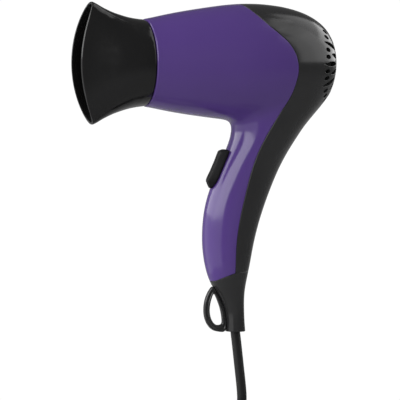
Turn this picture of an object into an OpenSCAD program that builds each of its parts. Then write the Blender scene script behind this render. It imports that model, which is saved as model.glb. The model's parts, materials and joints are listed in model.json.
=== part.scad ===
// Hand-held hair dryer with a flared concentrator nozzle, a two-colour body,
// a slide switch, an axial fan and heater inside, a hanging loop on the end
// cap and a mains cord that is wound into a flat coil below the handle.
// Millimetres. X runs along the barrel (nozzle at -X), Z is up, Y is across.
// The origin is the middle of the hand grip.

/* [Body] */
// Thickness of the two plastic body shells
wall = 2.2; // [1.8:0.1:2.6]
// Gap on each side of the parting line between the shells
seam_gap = 0.12; // [0.08:0.02:0.2]
// Facets around the barrel
barrel_fn = 60; // [48:12:72]
// Facets around the handle
handle_n = 32; // [24:4:40]

/* [Nozzle] */
// Radius of the nozzle socket where it meets the barrel
nozzle_r = 31.3; // [31:0.1:31.6]
// Half height of the flared mouth
mouth_h = 44; // [40:1:46]
// Half width of the mouth slit
mouth_w = 13; // [11:0.5:15]
// Wall thickness of the nozzle
nozzle_wall = 1.8; // [1.5:0.1:1.9]

/* [Switch] */
// Length of the sliding cap
cap_len = 30; // [28:1:31]
// Width of the sliding cap
cap_w = 12.8; // [12:0.2:16]
// How far the cap stands out of the handle
cap_h = 4.4; // [3.5:0.1:5]
// Travel of the slide switch
switch_travel = 8; // [6:1:8]

/* [Fan and motor] */
// Number of fan blades
blade_count = 9; // [7:1:11]
// Tip radius of the fan
fan_r = 28.8; // [27:0.1:28.9]
// Radius of the motor shaft
shaft_r = 1.15; // [1.15:0.05:1.15]
// Radial running clearance of the shaft in its bushes
bush_gap = 0.03; // [0.01:0.01:0.08]

/* [Heater] */
// Number of heater wire rings
ring_count = 11; // [8:1:11]
// Heater wire radius
wire_r = 0.7; // [0.4:0.1:0.8]

/* [Cord] */
// Diameter of the mains cord
cord_d = 7; // [6:0.5:7]
// Radius of a plug pin
pin_r = 2.4; // [2.4:0.05:2.4]
// Free length of a plug pin
pin_len = 19; // [19:0.5:19]
// Distance between the plug pins
pin_pitch = 19; // [19:0.5:19]

/* [Hidden] */
$fn = 48;

// The barrel axis lies grip_up above the origin, the barrel's front edge
// grip_back in front of it.
grip_back = 65;
grip_up = 116;
module at_grip() translate([-grip_back, 0, grip_up]) children();

purple = [0.32, 0.24, 0.48];
black = [0.16, 0.16, 0.16];
dark = [0.1, 0.1, 0.1];
steel = [0.7, 0.7, 0.72];
brass = [0.8, 0.65, 0.3];
mica = [0.75, 0.66, 0.48];

// Barrel outline: [distance from the front edge, radius]
barrel = [[0, 31.3], [12, 33.8], [27, 36.5], [42, 38.8], [57, 40.8],
  [72, 42], [80, 42.2], [88, 41.8], [96, 41], [104, 39.8], [112, 37.9],
  [119, 35.6], [125, 32.8], [130, 29.7], [134, 26.3], [137.5, 22],
  [140.3, 16.8], [142, 11], [142.9, 5.5], [143.2, 0]];

// Handle stations: [height, middle X, half depth, half width]
handle = [[-22, 101, 33, 25], [-30, 99, 31.5, 26.5], [-38, 96.9, 29.1, 26.5],
  [-47, 93.4, 26.1, 25.2], [-56, 89.8, 23.7, 23.6], [-64, 85.2, 23.1, 21.8],
  [-76, 79.2, 22.4, 20], [-88, 74, 22.2, 19.3], [-100, 69.5, 21.9, 18.8],
  [-110, 66.7, 21.1, 18.5], [-122, 64.4, 19.8, 18.3], [-134, 63, 18.3, 17.5],
  [-146, 62.9, 16.2, 16.4], [-152, 63, 14.9, 15.4], [-158, 63.3, 13.4, 14],
  [-163, 64, 11.5, 12.3], [-168, 65.6, 9.6, 10.8], [-174, 67.1, 8.1, 9],
  [-180, 68.1, 7.3, 8], [-187, 68.6, 7, 7.5], [-193.4, 68.9, 7.2, 7.6]];

// Parting line between the front and rear shells, seen from the side: [X, Z]
parting = [[68, 50], [72, 41], [82, 28.5], [91, 20], [96.5, 14.5],
  [100.5, 8], [102.8, 1.5], [103.5, -6], [102.5, -13], [99.3, -26],
  [93.3, -37], [87, -48], [83.5, -55], [79, -65], [74, -80], [69.5, -98],
  [66.2, -113], [64, -130], [63.8, -152]];

// Seam between the shells and the end cap, from front to back: [X, Z]
cap_seam = [[30, -167], [50, -158], [56, -154.5], [64, -151.4], [72, -150.6],
  [100, -150.6]];

// Free route of the mains cord, from the sleeve down to the coil
cord_route = [[68.9, 0, -194.4], [70, 0, -205], [71.5, 0, -220],
  [73, 0, -235], [73.8, 0.4, -244], [74, 3, -252.5], [74, 8, -260],
  [74, 15, -265.8]];

// Lead from the coil to the plug, lying beside the coil
plug_route = [[59, -16, -283.6], [67, -17, -282], [75, -18.2, -279.5], [83, -19.4, -277], [91, -20, -275.5]];

// Coil: middle, floor height, inner and outer radius, height
coil_at = [42.5, 30];
floor_z = -288.3;
coil_z = floor_z + 0.8;
coil_in = 27.5;
coil_out = 49;
coil_h = 21;

// Inner leads: round-number routes inside the handle
live_route = [[64.4, -1.7, -145], [64, -6.5, -139], [62, -9, -130],
  [61, -9, -118], [62, -8, -106], [66, -5, -99], [68.5, -4.5, -94]];
neutral_route = [[64.4, 1.7, -145], [64, 6.5, -139], [65, 9.5, -130],
  [72, 11, -112], [79, 11, -92], [88, 10, -66], [91, 8, -48], [89, 7, -35]];
switched_route = [[80.8, -4.8, -73], [83.5, -7, -68], [86, -9, -58],
  [87, -8, -46], [85, -7, -35]];

tilt = 23.4;
sw_at = [56.2, 0, -77];
module on_switch() translate(sw_at) rotate([0, tilt, 0]) children();
module along_x(x0) translate([x0, 0, 0]) rotate([0, 90, 0]) children();

// Smooth curve through a list of points
function cr(p, i, t) = let (n = len(p), a = p[max(i - 1, 0)], b = p[i],
    c = p[min(i + 1, n - 1)], d = p[min(i + 2, n - 1)])
  0.5 * (2 * b + (c - a) * t + (2 * a - 5 * b + 4 * c - d) * t * t
    + (3 * b - 3 * c + d - a) * t * t * t);
function smooth(p, m) = concat([for (i = [0 : len(p) - 2])
    for (j = [0 : m - 1]) cr(p, i, j / m)], [p[len(p) - 1]]);

// Closed skin through rings of points that all have the same count
module skin(rings) {
  m = len(rings[0]);
  n = len(rings);
  pts = [for (r = rings) for (p = r) p];
  sides = [for (i = [0 : n - 2]) for (j = [0 : m - 1])
    let (k = (j + 1) % m) each [[i * m + j, i * m + k, (i + 1) * m + k],
      [i * m + j, (i + 1) * m + k, (i + 1) * m + j]]];
  polyhedron(pts, concat(sides, [[for (j = [m - 1 : -1 : 0]) j]],
    [[for (j = [0 : m - 1]) (n - 1) * m + j]]), convexity = 8);
}

// Round tube along a route
function unit(v) = v / norm(v);
module tube(route, r, n) {
  m = len(route);
  skin([for (i = [0 : m - 1]) let (
      d = unit(route[min(i + 1, m - 1)] - route[max(i - 1, 0)]),
      u = unit(cross(d, abs(d[1]) < 0.9 ? [0, 1, 0] : [1, 0, 0])),
      v = cross(d, u))
    [for (j = [0 : n - 1]) let (a = -360 * j / n)
      route[i] + r * (cos(a) * u + sin(a) * v)]]);
}

// Solid of the barrel, shrunk inward by d
module barrel_solid(d) {
  half = smooth(barrel, 1);
  along_x(0) rotate_extrude($fn = barrel_fn) intersection() {
    offset(delta = -d) polygon(concat([for (p = half) [p[1], p[0]]],
      [for (i = [len(half) - 1 : -1 : 0]) [-half[i][1], half[i][0]]]));
    translate([0, -10]) square([100, 200]);
  }
}

// Solid of the handle, shrunk inward by d, stations i0 to i1
module handle_solid(d, i0, i1) {
  skin([for (i = [i1 : -1 : i0]) let (s = handle[i])
    [for (j = [0 : handle_n - 1]) let (a = -360 * j / handle_n)
      [s[1] + (s[2] - d) * cos(a), (s[3] - d) * sin(a), s[0]]]]);
}

// Flat outline in X and Z, pulled out across the body
module slab(pts, half_w = 60)
  translate([0, half_w, 0]) rotate([90, 0, 0])
    linear_extrude(2 * half_w) polygon(pts);

module body_wall() difference() {
  union() { barrel_solid(0); handle_solid(0, 0, 14); }
  union() { barrel_solid(wall); handle_solid(wall, 0, 15); }
  along_x(-1) cylinder(r = 27.15, h = 5);
}
module above_cap(g) slab(concat([for (p = cap_seam) [p[0], p[1] + g]],
  [[200, -150], [200, 80], [-60, 80], [-60, -167]]));
module front_zone(g) slab(concat([for (p = parting) [p[0] - g, p[1]]],
  [[63.8 - g, -170], [-40, -170], [-40, 60], [68 - g, 60]]));
module rear_zone(g) slab(concat([for (p = parting) [p[0] + g, p[1]]],
  [[63.8 + g, -170], [180, -170], [180, 60], [68 + g, 60]]));

upper_screw = -50;
lower_screw = -128;

// One leaf-shaped air slot that points away from the axis, and a ring of them
module leaf(r0, r1, w) polygon([[r0, 0], [r0 + (r1 - r0) * 0.3, w / 2],
  [r0 + (r1 - r0) * 0.65, w / 2], [r1, 0], [r0 + (r1 - r0) * 0.65, -w / 2],
  [r0 + (r1 - r0) * 0.3, -w / 2]]);
module air_slots() translate([0, 0, -1.2]) along_x(118) linear_extrude(40) {
  for (i = [0 : 11]) {
    rotate(30 * i) leaf(20, 32.2, 3.6);
    rotate(30 * i + 15) leaf(15, 27, 3.4);
    rotate(30 * i + 10) translate([30, 0]) circle(r = 1.6, $fn = 8);
    rotate(30 * i - 10) translate([30, 0]) circle(r = 1.6, $fn = 8);
  }
  for (i = [0 : 5]) rotate(60 * i + 30) leaf(5, 14, 3);
}

// Front half of the body, with bosses for the two case screws and the
// window that the slider's stem passes through
module front_shell() color(purple) at_grip() resize([0, 0, 0]) difference() {
  union() {
    intersection() { body_wall(); front_zone(seam_gap); above_cap(seam_gap); }
    intersection() {
      union() {
        translate([60, 0, upper_screw]) rotate([0, 90, 0])
          cylinder(r = 3.6, h = 27, $fn = 20);
        translate([40, 0, lower_screw]) rotate([0, 90, 0])
          cylinder(r = 3.6, h = 22, $fn = 20);
      }
      union() { barrel_solid(1); handle_solid(1, 0, 14); }
    }
  }
  translate([70, 0, upper_screw]) rotate([0, 90, 0])
    cylinder(r = 1.6, h = 40, $fn = 16);
  translate([50, 0, lower_screw]) rotate([0, 90, 0])
    cylinder(r = 1.6, h = 40, $fn = 16);
  on_switch() translate([-5, -4.4, -7]) cube([12, 8.8, 19.4]);
}

// Rear half of the body, with the air intake slots, the recessed screw
// posts and the block that the cord clamp is screwed to
module rear_shell() color(black) at_grip() resize([0, 0, 0]) difference() {
  union() {
    intersection() { body_wall(); rear_zone(seam_gap); above_cap(seam_gap); }
    intersection() {
      union() {
        translate([89, 0, upper_screw]) rotate([0, 90, 0])
          cylinder(r = 4.6, h = 40, $fn = 24);
        translate([65, 0, lower_screw]) rotate([0, 90, 0])
          cylinder(r = 4.6, h = 30, $fn = 24);
        translate([68.2, -9, -149.4]) cube([20, 18, 6.4]);
      }
      union() { barrel_solid(1); handle_solid(1, 0, 14); }
    }
  }
  air_slots();
  for (y = [-6.5, 6.5]) translate([60, y, -146.2]) rotate([0, 90, 0])
    cylinder(r = 1.2, h = 15, $fn = 12);
  translate([80, 0, upper_screw]) rotate([0, 90, 0])
    cylinder(r = 1.7, h = 60, $fn = 16);
  translate([104, 0, upper_screw]) rotate([0, 90, 0])
    cylinder(r = 3.2, h = 60, $fn = 24);
  translate([60, 0, lower_screw]) rotate([0, 90, 0])
    cylinder(r = 1.7, h = 60, $fn = 16);
  translate([74, 0, lower_screw]) rotate([0, 90, 0])
    cylinder(r = 3.2, h = 60, $fn = 24);
}

// End cap that closes the bottom of the handle and narrows to a cord neck
module end_cap() color(black) at_grip() resize([0, 0, 0]) difference() {
  handle_solid(0, 12, 20);
  handle_solid(2, 11, 20);
  translate([68.8, 0, -200]) cylinder(r = 5.1, h = 20, $fn = 24);
  above_cap(-seam_gap);
}

// Teardrop hanging loop in front of the cap's neck
loop_outer = [[51.4, -160], [47.8, -165], [45.7, -169.7], [44.7, -175],
  [44.7, -180], [45.6, -184.5], [47.8, -189], [51.2, -192.2], [55, -193.4],
  [60.9, -193.3], [61.2, -187], [60.4, -180], [58.6, -174], [55.6, -168],
  [52.6, -163.4]];
loop_hole = [[52.3, -166.4], [50, -172], [49.1, -178], [49.6, -183],
  [51.4, -187], [54.2, -189.4], [58.4, -189], [58.8, -185.5], [57.6, -178.5],
  [55.6, -172.5], [53.6, -168]];
module hang_loop() color(black) at_grip()
  translate([0, 2.2, 0]) rotate([90, 0, 0]) linear_extrude(4.4)
    difference() { polygon(loop_outer); polygon(loop_hole); }

// Outlet neck that the nozzle slips over, with its finger guard
module outlet_grille() color(dark) at_grip() along_x(0) difference() {
  union() {
    translate([0, 0, -12]) difference() {
      cylinder(r = 27, h = 14.4);
      translate([0, 0, -1]) cylinder(r = 25, h = 20);
    }
    translate([0, 0, 2.4]) difference() {
      cylinder(r = 28.4, h = 2);
      translate([0, 0, -1]) cylinder(r = 25, h = 4);
    }
    for (r = [7, 13, 19]) translate([0, 0, -1.5]) difference() {
      cylinder(r = r + 0.6, h = 2);
      translate([0, 0, -1]) cylinder(r = r - 0.6, h = 4);
    }
    for (a = [0 : 60 : 300]) rotate(a) translate([0, -0.6, -1.5])
      cube([26, 1.2, 2]);
  }
}

// Springy ring that lets the nozzle turn on the neck and pull off with it
module nozzle_snap_ring() color(steel) at_grip() along_x(-11) difference() {
  cylinder(r = 28.7, h = 9);
  translate([0, 0, -1]) cylinder(r = 27.05, h = 11);
}

// Flared nozzle. s runs from 0 at the barrel to 1 at the mouth.
// Stations: [s, half height, half width, corner power]
nozzle = [[0, 31.3, 31.3, 2], [0.1, 31.4, 31.2, 2], [0.2, 31.9, 30.6, 2],
  [0.3, 32.8, 29.4, 2.05], [0.4, 33.9, 27.6, 2.1], [0.5, 35.2, 25.2, 2.2],
  [0.6, 36.7, 22.5, 2.3], [0.7, 38.4, 19.8, 2.45], [0.8, 40.2, 17.2, 2.6],
  [0.9, 42.1, 14.9, 2.8], [1, 44, 13, 3]];
nozzle_x0 = -0.5;
function mouth_x(z) = -51 + z * z / 175;
function nozzle_ring(st, d) = let (s = st[0],
    h = st[1] + s * (mouth_h - 44) + (1 - s) * (nozzle_r - 31.3) - d,
    w = st[2] + s * (mouth_w - 13) + (1 - s) * (nozzle_r - 31.3) - d)
  [for (j = [0 : 63]) let (a = 360 * (j + 0.5) / 64, p = 2 / st[3],
      y = w * sign(cos(a)) * pow(abs(cos(a)), p),
      z = h * sign(sin(a)) * pow(abs(sin(a)), p))
    [nozzle_x0 + s * (mouth_x(z) - nozzle_x0), y, z]];
module concentrator_nozzle() color(dark) at_grip() resize([0, 0, 0])
  difference() {
    skin([for (s = nozzle) nozzle_ring(s, 0)]);
    skin([for (s = nozzle) let (q = s[0] < 0.05 ? -0.02 : s[0] > 0.99
        ? 1.02 : s[0]) nozzle_ring([q, s[1], s[2], s[3]], nozzle_wall)]);
  }

// Mica liner around the heater
module mica_tube() color(mica) at_grip() along_x(8) difference() {
  cylinder(r = 26.6, h = 62);
  translate([0, 0, -1]) cylinder(r = 25.9, h = 64);
}

// Two crossed mica boards that carry the heater wire
board = 22.4;
module mica_board_upright() color(mica) at_grip() difference() {
  translate([9, -0.4, -board]) cube([57, 0.8, 2 * board]);
  translate([8, -1, -0.5]) cube([29.6, 2, 1]);
  for (i = [0 : 5]) translate([14 + 9 * i, -1, 12]) rotate([-90, 0, 0])
    cylinder(r = 1.5, h = 2, $fn = 24);
}
module mica_board_flat() color(mica) at_grip() difference() {
  translate([9, -board, -0.4]) cube([57, 2 * board, 0.8]);
  translate([37.4, -0.5, -1]) cube([40, 1, 2]);
}
module heater_coils() color(steel) at_grip() {
  for (i = [0 : ring_count - 1]) along_x(12 + 5 * i) difference() {
    cylinder(r = 23.7 + wire_r, h = 2 * wire_r);
    translate([0, 0, -1]) cylinder(r = 23.7 - wire_r, h = 4);
  }
  for (a = [45, 225]) rotate([a, 0, 0]) translate([12, -0.6, 23.3])
    cube([5 * (ring_count - 1) + 1, 1.2, 0.8]);
}
module thermostat() color([0.85, 0.85, 0.82]) at_grip() difference() {
  union() {
    translate([28, 0.6, 6]) cube([14, 5, 7]);
    translate([25, 2.2, 8.4]) cube([20, 0.8, 2.4]);
  }
  translate([35, 3, 5]) cylinder(r = 1.2, h = 9, $fn = 24);
}
module thermal_fuse() color([0.6, 0.62, 0.66]) at_grip()
  translate([26, -3, 9]) rotate([0, 90, 0]) {
    cylinder(r = 2, h = 12);
    translate([0, 0, -6]) cylinder(r = 0.5, h = 24, $fn = 16);
  }

// Duct around the fan, with the motor's cup and its stator vanes
module fan_housing() color([0.2, 0.2, 0.2]) at_grip() {
  along_x(0) rotate_extrude($fn = 64) polygon([[26.8, 67], [28.2, 67],
    [31, 74], [31, 121], [29.6, 121], [29.6, 74.6], [26.8, 70]]);
  along_x(76) difference() {
    cylinder(r = 15.6, h = 30);
    translate([0, 0, -1]) cylinder(r = 14.2, h = 32);
  }
  for (i = [0 : 6]) rotate([360 / 7 * i, 0, 0]) translate([80, -0.7, 15])
    cube([22, 1.4, 15]);
}
module motor_can() color(steel) at_grip() along_x(68) difference() {
  cylinder(r = 13.9, h = 35);
  translate([0, 0, 1.2]) cylinder(r = 13, h = 40);
  translate([0, 0, -1]) cylinder(r = 3, h = 4);
  for (a = [0, 180]) rotate(a + 45) translate([8, 0, -1])
    cylinder(r = 1.3, h = 4, $fn = 24);
}
module motor_end_cap() color([0.85, 0.83, 0.75]) at_grip() along_x(103)
  difference() {
    cylinder(r = 13.9, h = 3.4);
    translate([0, 0, -1]) cylinder(r = 3, h = 8);
  }
module motor_magnets() color([0.25, 0.25, 0.27]) at_grip() along_x(73)
  difference() {
    cylinder(r = 12.9, h = 24);
    translate([0, 0, -1]) cylinder(r = 10.4, h = 26);
    for (s = [0, 1]) mirror([0, s, 0]) rotate(62.5)
      translate([0, 0, -1]) linear_extrude(26)
        polygon([[0, 0], [30, 0], [30, 20], [30 * cos(55), 30 * sin(55)]]);
  }
module motor_bushes() color(brass) at_grip()
  for (x = [66.4, 102.6]) along_x(x) difference() {
    cylinder(r = 2.98, h = x < 80 ? 3.4 : 4.2);
    translate([0, 0, -1]) cylinder(r = shaft_r + bush_gap, h = 8);
  }
module motor_brushes() color([0.2, 0.2, 0.2]) at_grip()
  for (s = [-1, 1]) translate([97.2, s * 5.4 - 1.6, -1.3])
    cube([3.6, 3.2, 2.6]);

module motor_shaft() color(steel) at_grip() along_x(66.3)
  cylinder(r = shaft_r, h = 54.6);
module armature_core() color([0.5, 0.5, 0.52]) at_grip() along_x(77)
  difference() {
    cylinder(r = 9.8, h = 16);
    translate([0, 0, -1]) cylinder(r = shaft_r, h = 18);
    for (a = [0, 120, 240]) rotate(a) {
      translate([8, -0.8, -1]) cube([5, 1.6, 18]);
      translate([6.2, 0, -1]) cylinder(r = 2.7, h = 18, $fn = 32);
    }
  }
module armature_windings() color([0.72, 0.4, 0.2]) at_grip() along_x(75.6)
  for (a = [0, 120, 240]) rotate(a) translate([6.2, 0, 0])
    cylinder(r = 2.3, h = 18.8, $fn = 32);
module commutator() color([0.75, 0.45, 0.25]) at_grip() along_x(96)
  difference() {
    cylinder(r = 3.4, h = 5.6);
    translate([0, 0, -1]) cylinder(r = shaft_r, h = 8);
    for (a = [30, 150, 270]) rotate(a) translate([2.6, -0.2, -1])
      cube([2, 0.4, 8]);
  }

// Axial fan on the motor shaft
module impeller() color([0.75, 0.75, 0.72]) at_grip() along_x(109)
  difference() {
    union() {
      cylinder(r = 9.5, h = 10);
      intersection() {
        for (i = [0 : blade_count - 1]) rotate(360 / blade_count * i)
          translate([8.5, 0, 5]) rotate([38, 0, 0])
            translate([0, -8, -0.65]) cube([30, 16, 1.3]);
        cylinder(r = fan_r, h = 10);
      }
    }
    translate([0, 0, -1]) cylinder(r = shaft_r, h = 14);
    translate([0, 0, -1]) difference() {
      cylinder(r = 8.2, h = 7);
      translate([0, 0, -1]) cylinder(r = 3.2, h = 9);
    }
  }

// Safety screen behind the air slots
module intake_screen() color([0.3, 0.3, 0.3]) at_grip() along_x(121.3)
  difference() {
    cylinder(r = 30.2, h = 1);
    for (ring = [[7, 6], [12.6, 12], [18.4, 18], [24.2, 24]])
      for (i = [0 : ring[1] - 1]) rotate(360 / ring[1] * i)
        translate([ring[0], 0, -1]) cylinder(r = 2.3, h = 3, $fn = 16);
  }

// Sliding cap of the switch, its underside follows the handle
// Outline of the cap at depth x: square above, round below, sides drawn in
cap_side = [[15.5, 1], [-4, 1], [-7, 0.96], [-9.5, 0.88], [-12, 0.72],
  [-14, 0.51], [-15.5, 0.3]];
function cap_plan(x) = let (w = cap_w / 2 - 0.654 * (0.8 - x), n = 6)
  concat([for (i = [0 : n]) [x, w * cap_side[i][1], cap_side[i][0]]],
    [for (i = [n : -1 : 0]) [x, -w * cap_side[i][1], cap_side[i][0]]]);
module switch_slider() color(dark) at_grip() on_switch() {
  difference() {
    intersection() {
      translate([0, cap_w / 2 + 2, 0]) rotate([90, 0, 0])
        linear_extrude(cap_w + 4)
        polygon([[2, -cap_len / 2 + 1.5], [2, cap_len / 2],
          [-1, cap_len / 2], [-cap_h + 0.2, cap_len / 2 - 2.3],
          [-cap_h - 0.1, cap_len / 2 - 3], [-cap_h, 3],
          [-cap_h - 0.1, -4],
          [-cap_h - 0.7, -cap_len / 2 + 5], [-cap_h - 0.3, -cap_len / 2 + 3.5],
          [-1, -cap_len / 2]]);
      skin([for (x = [-6, 3]) cap_plan(x)]);
    }
    translate([20.55, 0, -30]) cylinder(r = 21, h = 60, $fn = 96);
  }
  translate([-1.2, -4, -5.6]) cube([5.8, 8, 8.6]);
}
module contact_carrier() color([0.8, 0.78, 0.7]) at_grip() on_switch()
  difference() {
    translate([4.6, -4, -7]) cube([5, 8, 11]);
    translate([7.6, -5, -3]) cube([3, 10, 3]);
  }
module switch_body() color([0.85, 0.85, 0.8]) at_grip() on_switch()
  difference() {
    translate([4.9, -7, -12]) cube([9.6, 14, 28]);
    translate([0, -4.4, -7.5]) cube([10.1, 8.8, 20]);
  }
module switch_terminals() color(brass) at_grip() on_switch()
  for (z = [-9, 2, 13]) translate([14.5, -5.2, z - 1]) cube([5, 0.8, 2]);

module circuit_board() color([0.3, 0.45, 0.25]) at_grip() difference() {
  translate([57, 3, -121]) cube([23, 1.5, 20]);
  for (x = [59, 78]) translate([x, 2, -119]) rotate([-90, 0, 0])
    cylinder(r = 0.9, h = 4, $fn = 24);
}
module diodes() color([0.15, 0.15, 0.15]) at_grip()
  for (i = [0 : 3]) translate([62 + 4 * i, 1.4, -107]) {
    cylinder(r = 1.4, h = 4.6, $fn = 24);
    translate([0, 0, -1.6]) cylinder(r = 0.4, h = 7.8, $fn = 16);
  }
module capacitor() color([0.75, 0.6, 0.15]) at_grip()
  translate([62, -4, -118]) cube([12, 6.6, 8]);

module live_lead() color([0.45, 0.25, 0.12]) at_grip()
  tube(smooth(live_route, 2), 1, 8);
module neutral_lead() color([0.15, 0.3, 0.7]) at_grip()
  tube(smooth(neutral_route, 2), 1, 8);
module switched_lead() color([0.6, 0.1, 0.1]) at_grip()
  tube(smooth(switched_route, 2), 1, 8);

// Two screws that hold the shells together
module screw(len) {
  cylinder(r = 1.5, h = len, $fn = 32);
  translate([0, 0, len]) difference() {
    cylinder(r = 2.9, h = 2.2, $fn = 32);
    for (a = [0, 90]) rotate(a) translate([-1.8, -0.4, 1]) cube([3.6, 0.8, 2]);
  }
}
module case_screws() color(steel) at_grip() {
  translate([80, 0, upper_screw]) rotate([0, 90, 0]) screw(24);
  translate([54, 0, lower_screw]) rotate([0, 90, 0]) screw(20);
}
module cord_clamp() color([0.2, 0.2, 0.2]) at_grip() difference() {
  translate([57, -9, -149]) cube([3, 18, 5.6]);
  for (y = [-6.5, 6.5]) translate([50, y, -146.2]) rotate([0, 90, 0])
    cylinder(r = 1.2, h = 15, $fn = 24);
}
module clamp_screws() color(steel) at_grip()
  for (y = [-6.5, 6.5]) translate([57, y, -146.2]) rotate([0, 90, 0]) {
    cylinder(r = 1.1, h = 16, $fn = 24);
    translate([0, 0, -1.6]) cylinder(r = 2, h = 1.6, $fn = 24);
  }

// Rubber sleeve moulded on the cord where it passes through the neck
module cord_sleeve() color(dark) at_grip() translate([68.9, 0, -194.4])
  rotate([0, -5.71, 0]) union() {
    cylinder(r = 4.2, h = 22);
    translate([0, 0, 22]) cylinder(r1 = 4.2, r2 = 3.5, h = 10);
    translate([0, 0, 32]) cylinder(r = 3.5, h = 16.6);
  }

module power_cord() color(dark) at_grip()
  tube(smooth(cord_route, 3), cord_d / 2, 10);
module cord_coil() color(dark) at_grip()
  translate([coil_at[0], coil_at[1], coil_z]) rotate_extrude($fn = 96)
    polygon([[coil_in + 2, 0], [coil_out - 2, 0], [coil_out, 2],
      [coil_out, coil_h - 8], [coil_out - 3, coil_h], [coil_in + 3, coil_h],
      [coil_in, coil_h - 3], [coil_in, 2]]);

// Hook-and-loop tie around the coil, on the side away from the cord
module cord_tie() color([0.12, 0.12, 0.13]) at_grip()
  translate([coil_at[0] - coil_out - 1, coil_at[1] - 8, floor_z]) difference() {
    cube([coil_out - coil_in + 4.2, 16, coil_h + 1.6]);
    translate([0.8, -1, 0.8]) cube([coil_out - coil_in + 2.6, 18, coil_h]);
  }
module plug_lead() color(dark) at_grip()
  tube(smooth(plug_route, 3), cord_d / 2, 10);

// Mains plug with two round pins
plug_y = -20;
plug_z = -275.3;
module plug_slice(x, w, h) translate([x, plug_y, plug_z]) rotate([90, 0, 90])
  linear_extrude(1) hull() for (s = [-1, 1]) translate([s * (w - h) / 2, 0])
    circle(r = h / 2, $fn = 32);
module plug_body() color(dark) at_grip() union() {
  hull() { plug_slice(111, 15, 13); plug_slice(123, 34, 25);
    plug_slice(145, 36, 25.6); }
  translate([91, plug_y, plug_z]) rotate([0, 90, 0])
    cylinder(r1 = 4, r2 = 6, h = 21);
}
module plug_pins() color([0.8, 0.8, 0.8]) at_grip()
  for (s = [-1, 1]) translate([146, plug_y + s * pin_pitch / 2, plug_z])
    rotate([0, 90, 0]) cylinder(r = pin_r, h = pin_len);

front_shell();
rear_shell();
end_cap();
hang_loop();
outlet_grille();
nozzle_snap_ring();
concentrator_nozzle();
mica_tube();
mica_board_upright();
mica_board_flat();
heater_coils();
thermostat();
thermal_fuse();
fan_housing();
motor_can();
motor_end_cap();
motor_magnets();
motor_bushes();
motor_brushes();
motor_shaft();
armature_core();
armature_windings();
commutator();
impeller();
intake_screen();
switch_slider();
contact_carrier();
switch_body();
switch_terminals();
circuit_board();
diodes();
capacitor();
live_lead();
neutral_lead();
switched_lead();
case_screws();
cord_clamp();
clamp_screws();
cord_sleeve();
power_cord();
cord_coil();
cord_tie();
plug_lead();
plug_body();
plug_pins();
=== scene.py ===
import json
import math
import bpy
import numpy as np
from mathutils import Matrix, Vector


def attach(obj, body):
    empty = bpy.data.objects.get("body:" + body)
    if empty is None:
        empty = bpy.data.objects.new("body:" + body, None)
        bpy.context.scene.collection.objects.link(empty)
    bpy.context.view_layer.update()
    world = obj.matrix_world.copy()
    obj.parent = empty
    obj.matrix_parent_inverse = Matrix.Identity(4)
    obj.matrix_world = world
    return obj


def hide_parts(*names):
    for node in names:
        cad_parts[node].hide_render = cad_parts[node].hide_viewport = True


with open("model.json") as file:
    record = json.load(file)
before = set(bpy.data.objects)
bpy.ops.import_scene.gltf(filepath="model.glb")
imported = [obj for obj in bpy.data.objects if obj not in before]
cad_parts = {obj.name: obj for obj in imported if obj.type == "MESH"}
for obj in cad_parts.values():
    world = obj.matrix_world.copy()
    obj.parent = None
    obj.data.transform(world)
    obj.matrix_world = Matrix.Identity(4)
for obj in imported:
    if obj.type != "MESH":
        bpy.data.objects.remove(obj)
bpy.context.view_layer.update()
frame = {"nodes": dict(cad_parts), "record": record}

NODES = frame["nodes"]
MATS = {m["slot"]: m for m in frame["record"]["materials"]}
SLOT_OF = {s["node"]: s["material_slot"] for s in frame["record"]["subparts"]}
GRIP = np.array([65.0, 0.0, -116.0])      # the grip's middle, counted from the barrel's front edge


def place(p):
    """Design millimetres, barrel axis at Z 0 and front edge at X 0, to metres in the part's frame."""
    return (np.asarray(p, float) - GRIP) / 1000.0


# ------------------------------------------------------------------ camera
scene = bpy.context.scene
scene.view_settings.view_transform = "Standard"
scene.view_settings.look = "None"
AZ, EL, DIST = math.radians(-18.4), math.radians(3.0), 3.0
back = Vector((math.sin(AZ) * math.cos(EL), -math.cos(AZ) * math.cos(EL), math.sin(EL)))
target = Vector(place((42.1, 0, -99.0)))
cam_data = bpy.data.cameras.new("camera")
cam_data.lens = 375.0
cam_data.sensor_width = 36.0
cam_data.clip_start = 0.05
cam_data.clip_end = 60.0
camera = bpy.data.objects.new("camera", cam_data)
camera.location = target + back * DIST
camera.rotation_euler = back.to_track_quat("Z", "Y").to_euler()
scene.collection.objects.link(camera)
scene.camera = camera


# ------------------------------------------------------------------ material tools
def new_mat(name):
    m = bpy.data.materials.new(name)
    m.use_nodes = True
    nt = m.node_tree
    nt.nodes.clear()
    out = nt.nodes.new("ShaderNodeOutputMaterial")
    b = nt.nodes.new("ShaderNodeBsdfPrincipled")
    nt.links.new(b.outputs[0], out.inputs[0])
    return m, nt, b


def noise(nt, scale, detail=4.0, rough=0.55, stretch=(1, 1, 1)):
    tc = nt.nodes.new("ShaderNodeTexCoord")
    mp = nt.nodes.new("ShaderNodeMapping")
    mp.inputs["Scale"].default_value = stretch
    n = nt.nodes.new("ShaderNodeTexNoise")
    n.inputs["Scale"].default_value = scale
    n.inputs["Detail"].default_value = detail
    n.inputs["Roughness"].default_value = rough
    nt.links.new(tc.outputs["Object"], mp.inputs[0])
    nt.links.new(mp.outputs[0], n.inputs["Vector"])
    return n


def ramp(nt, src, stops):
    r = nt.nodes.new("ShaderNodeValToRGB")
    e = r.color_ramp.elements
    e[0].position, e[0].color = stops[0][0], (*stops[0][1], 1)
    e[1].position, e[1].color = stops[-1][0], (*stops[-1][1], 1)
    for p, c in stops[1:-1]:
        x = e.new(p)
        x.color = (*c, 1)
    nt.links.new(src, r.inputs[0])
    return r


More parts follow.
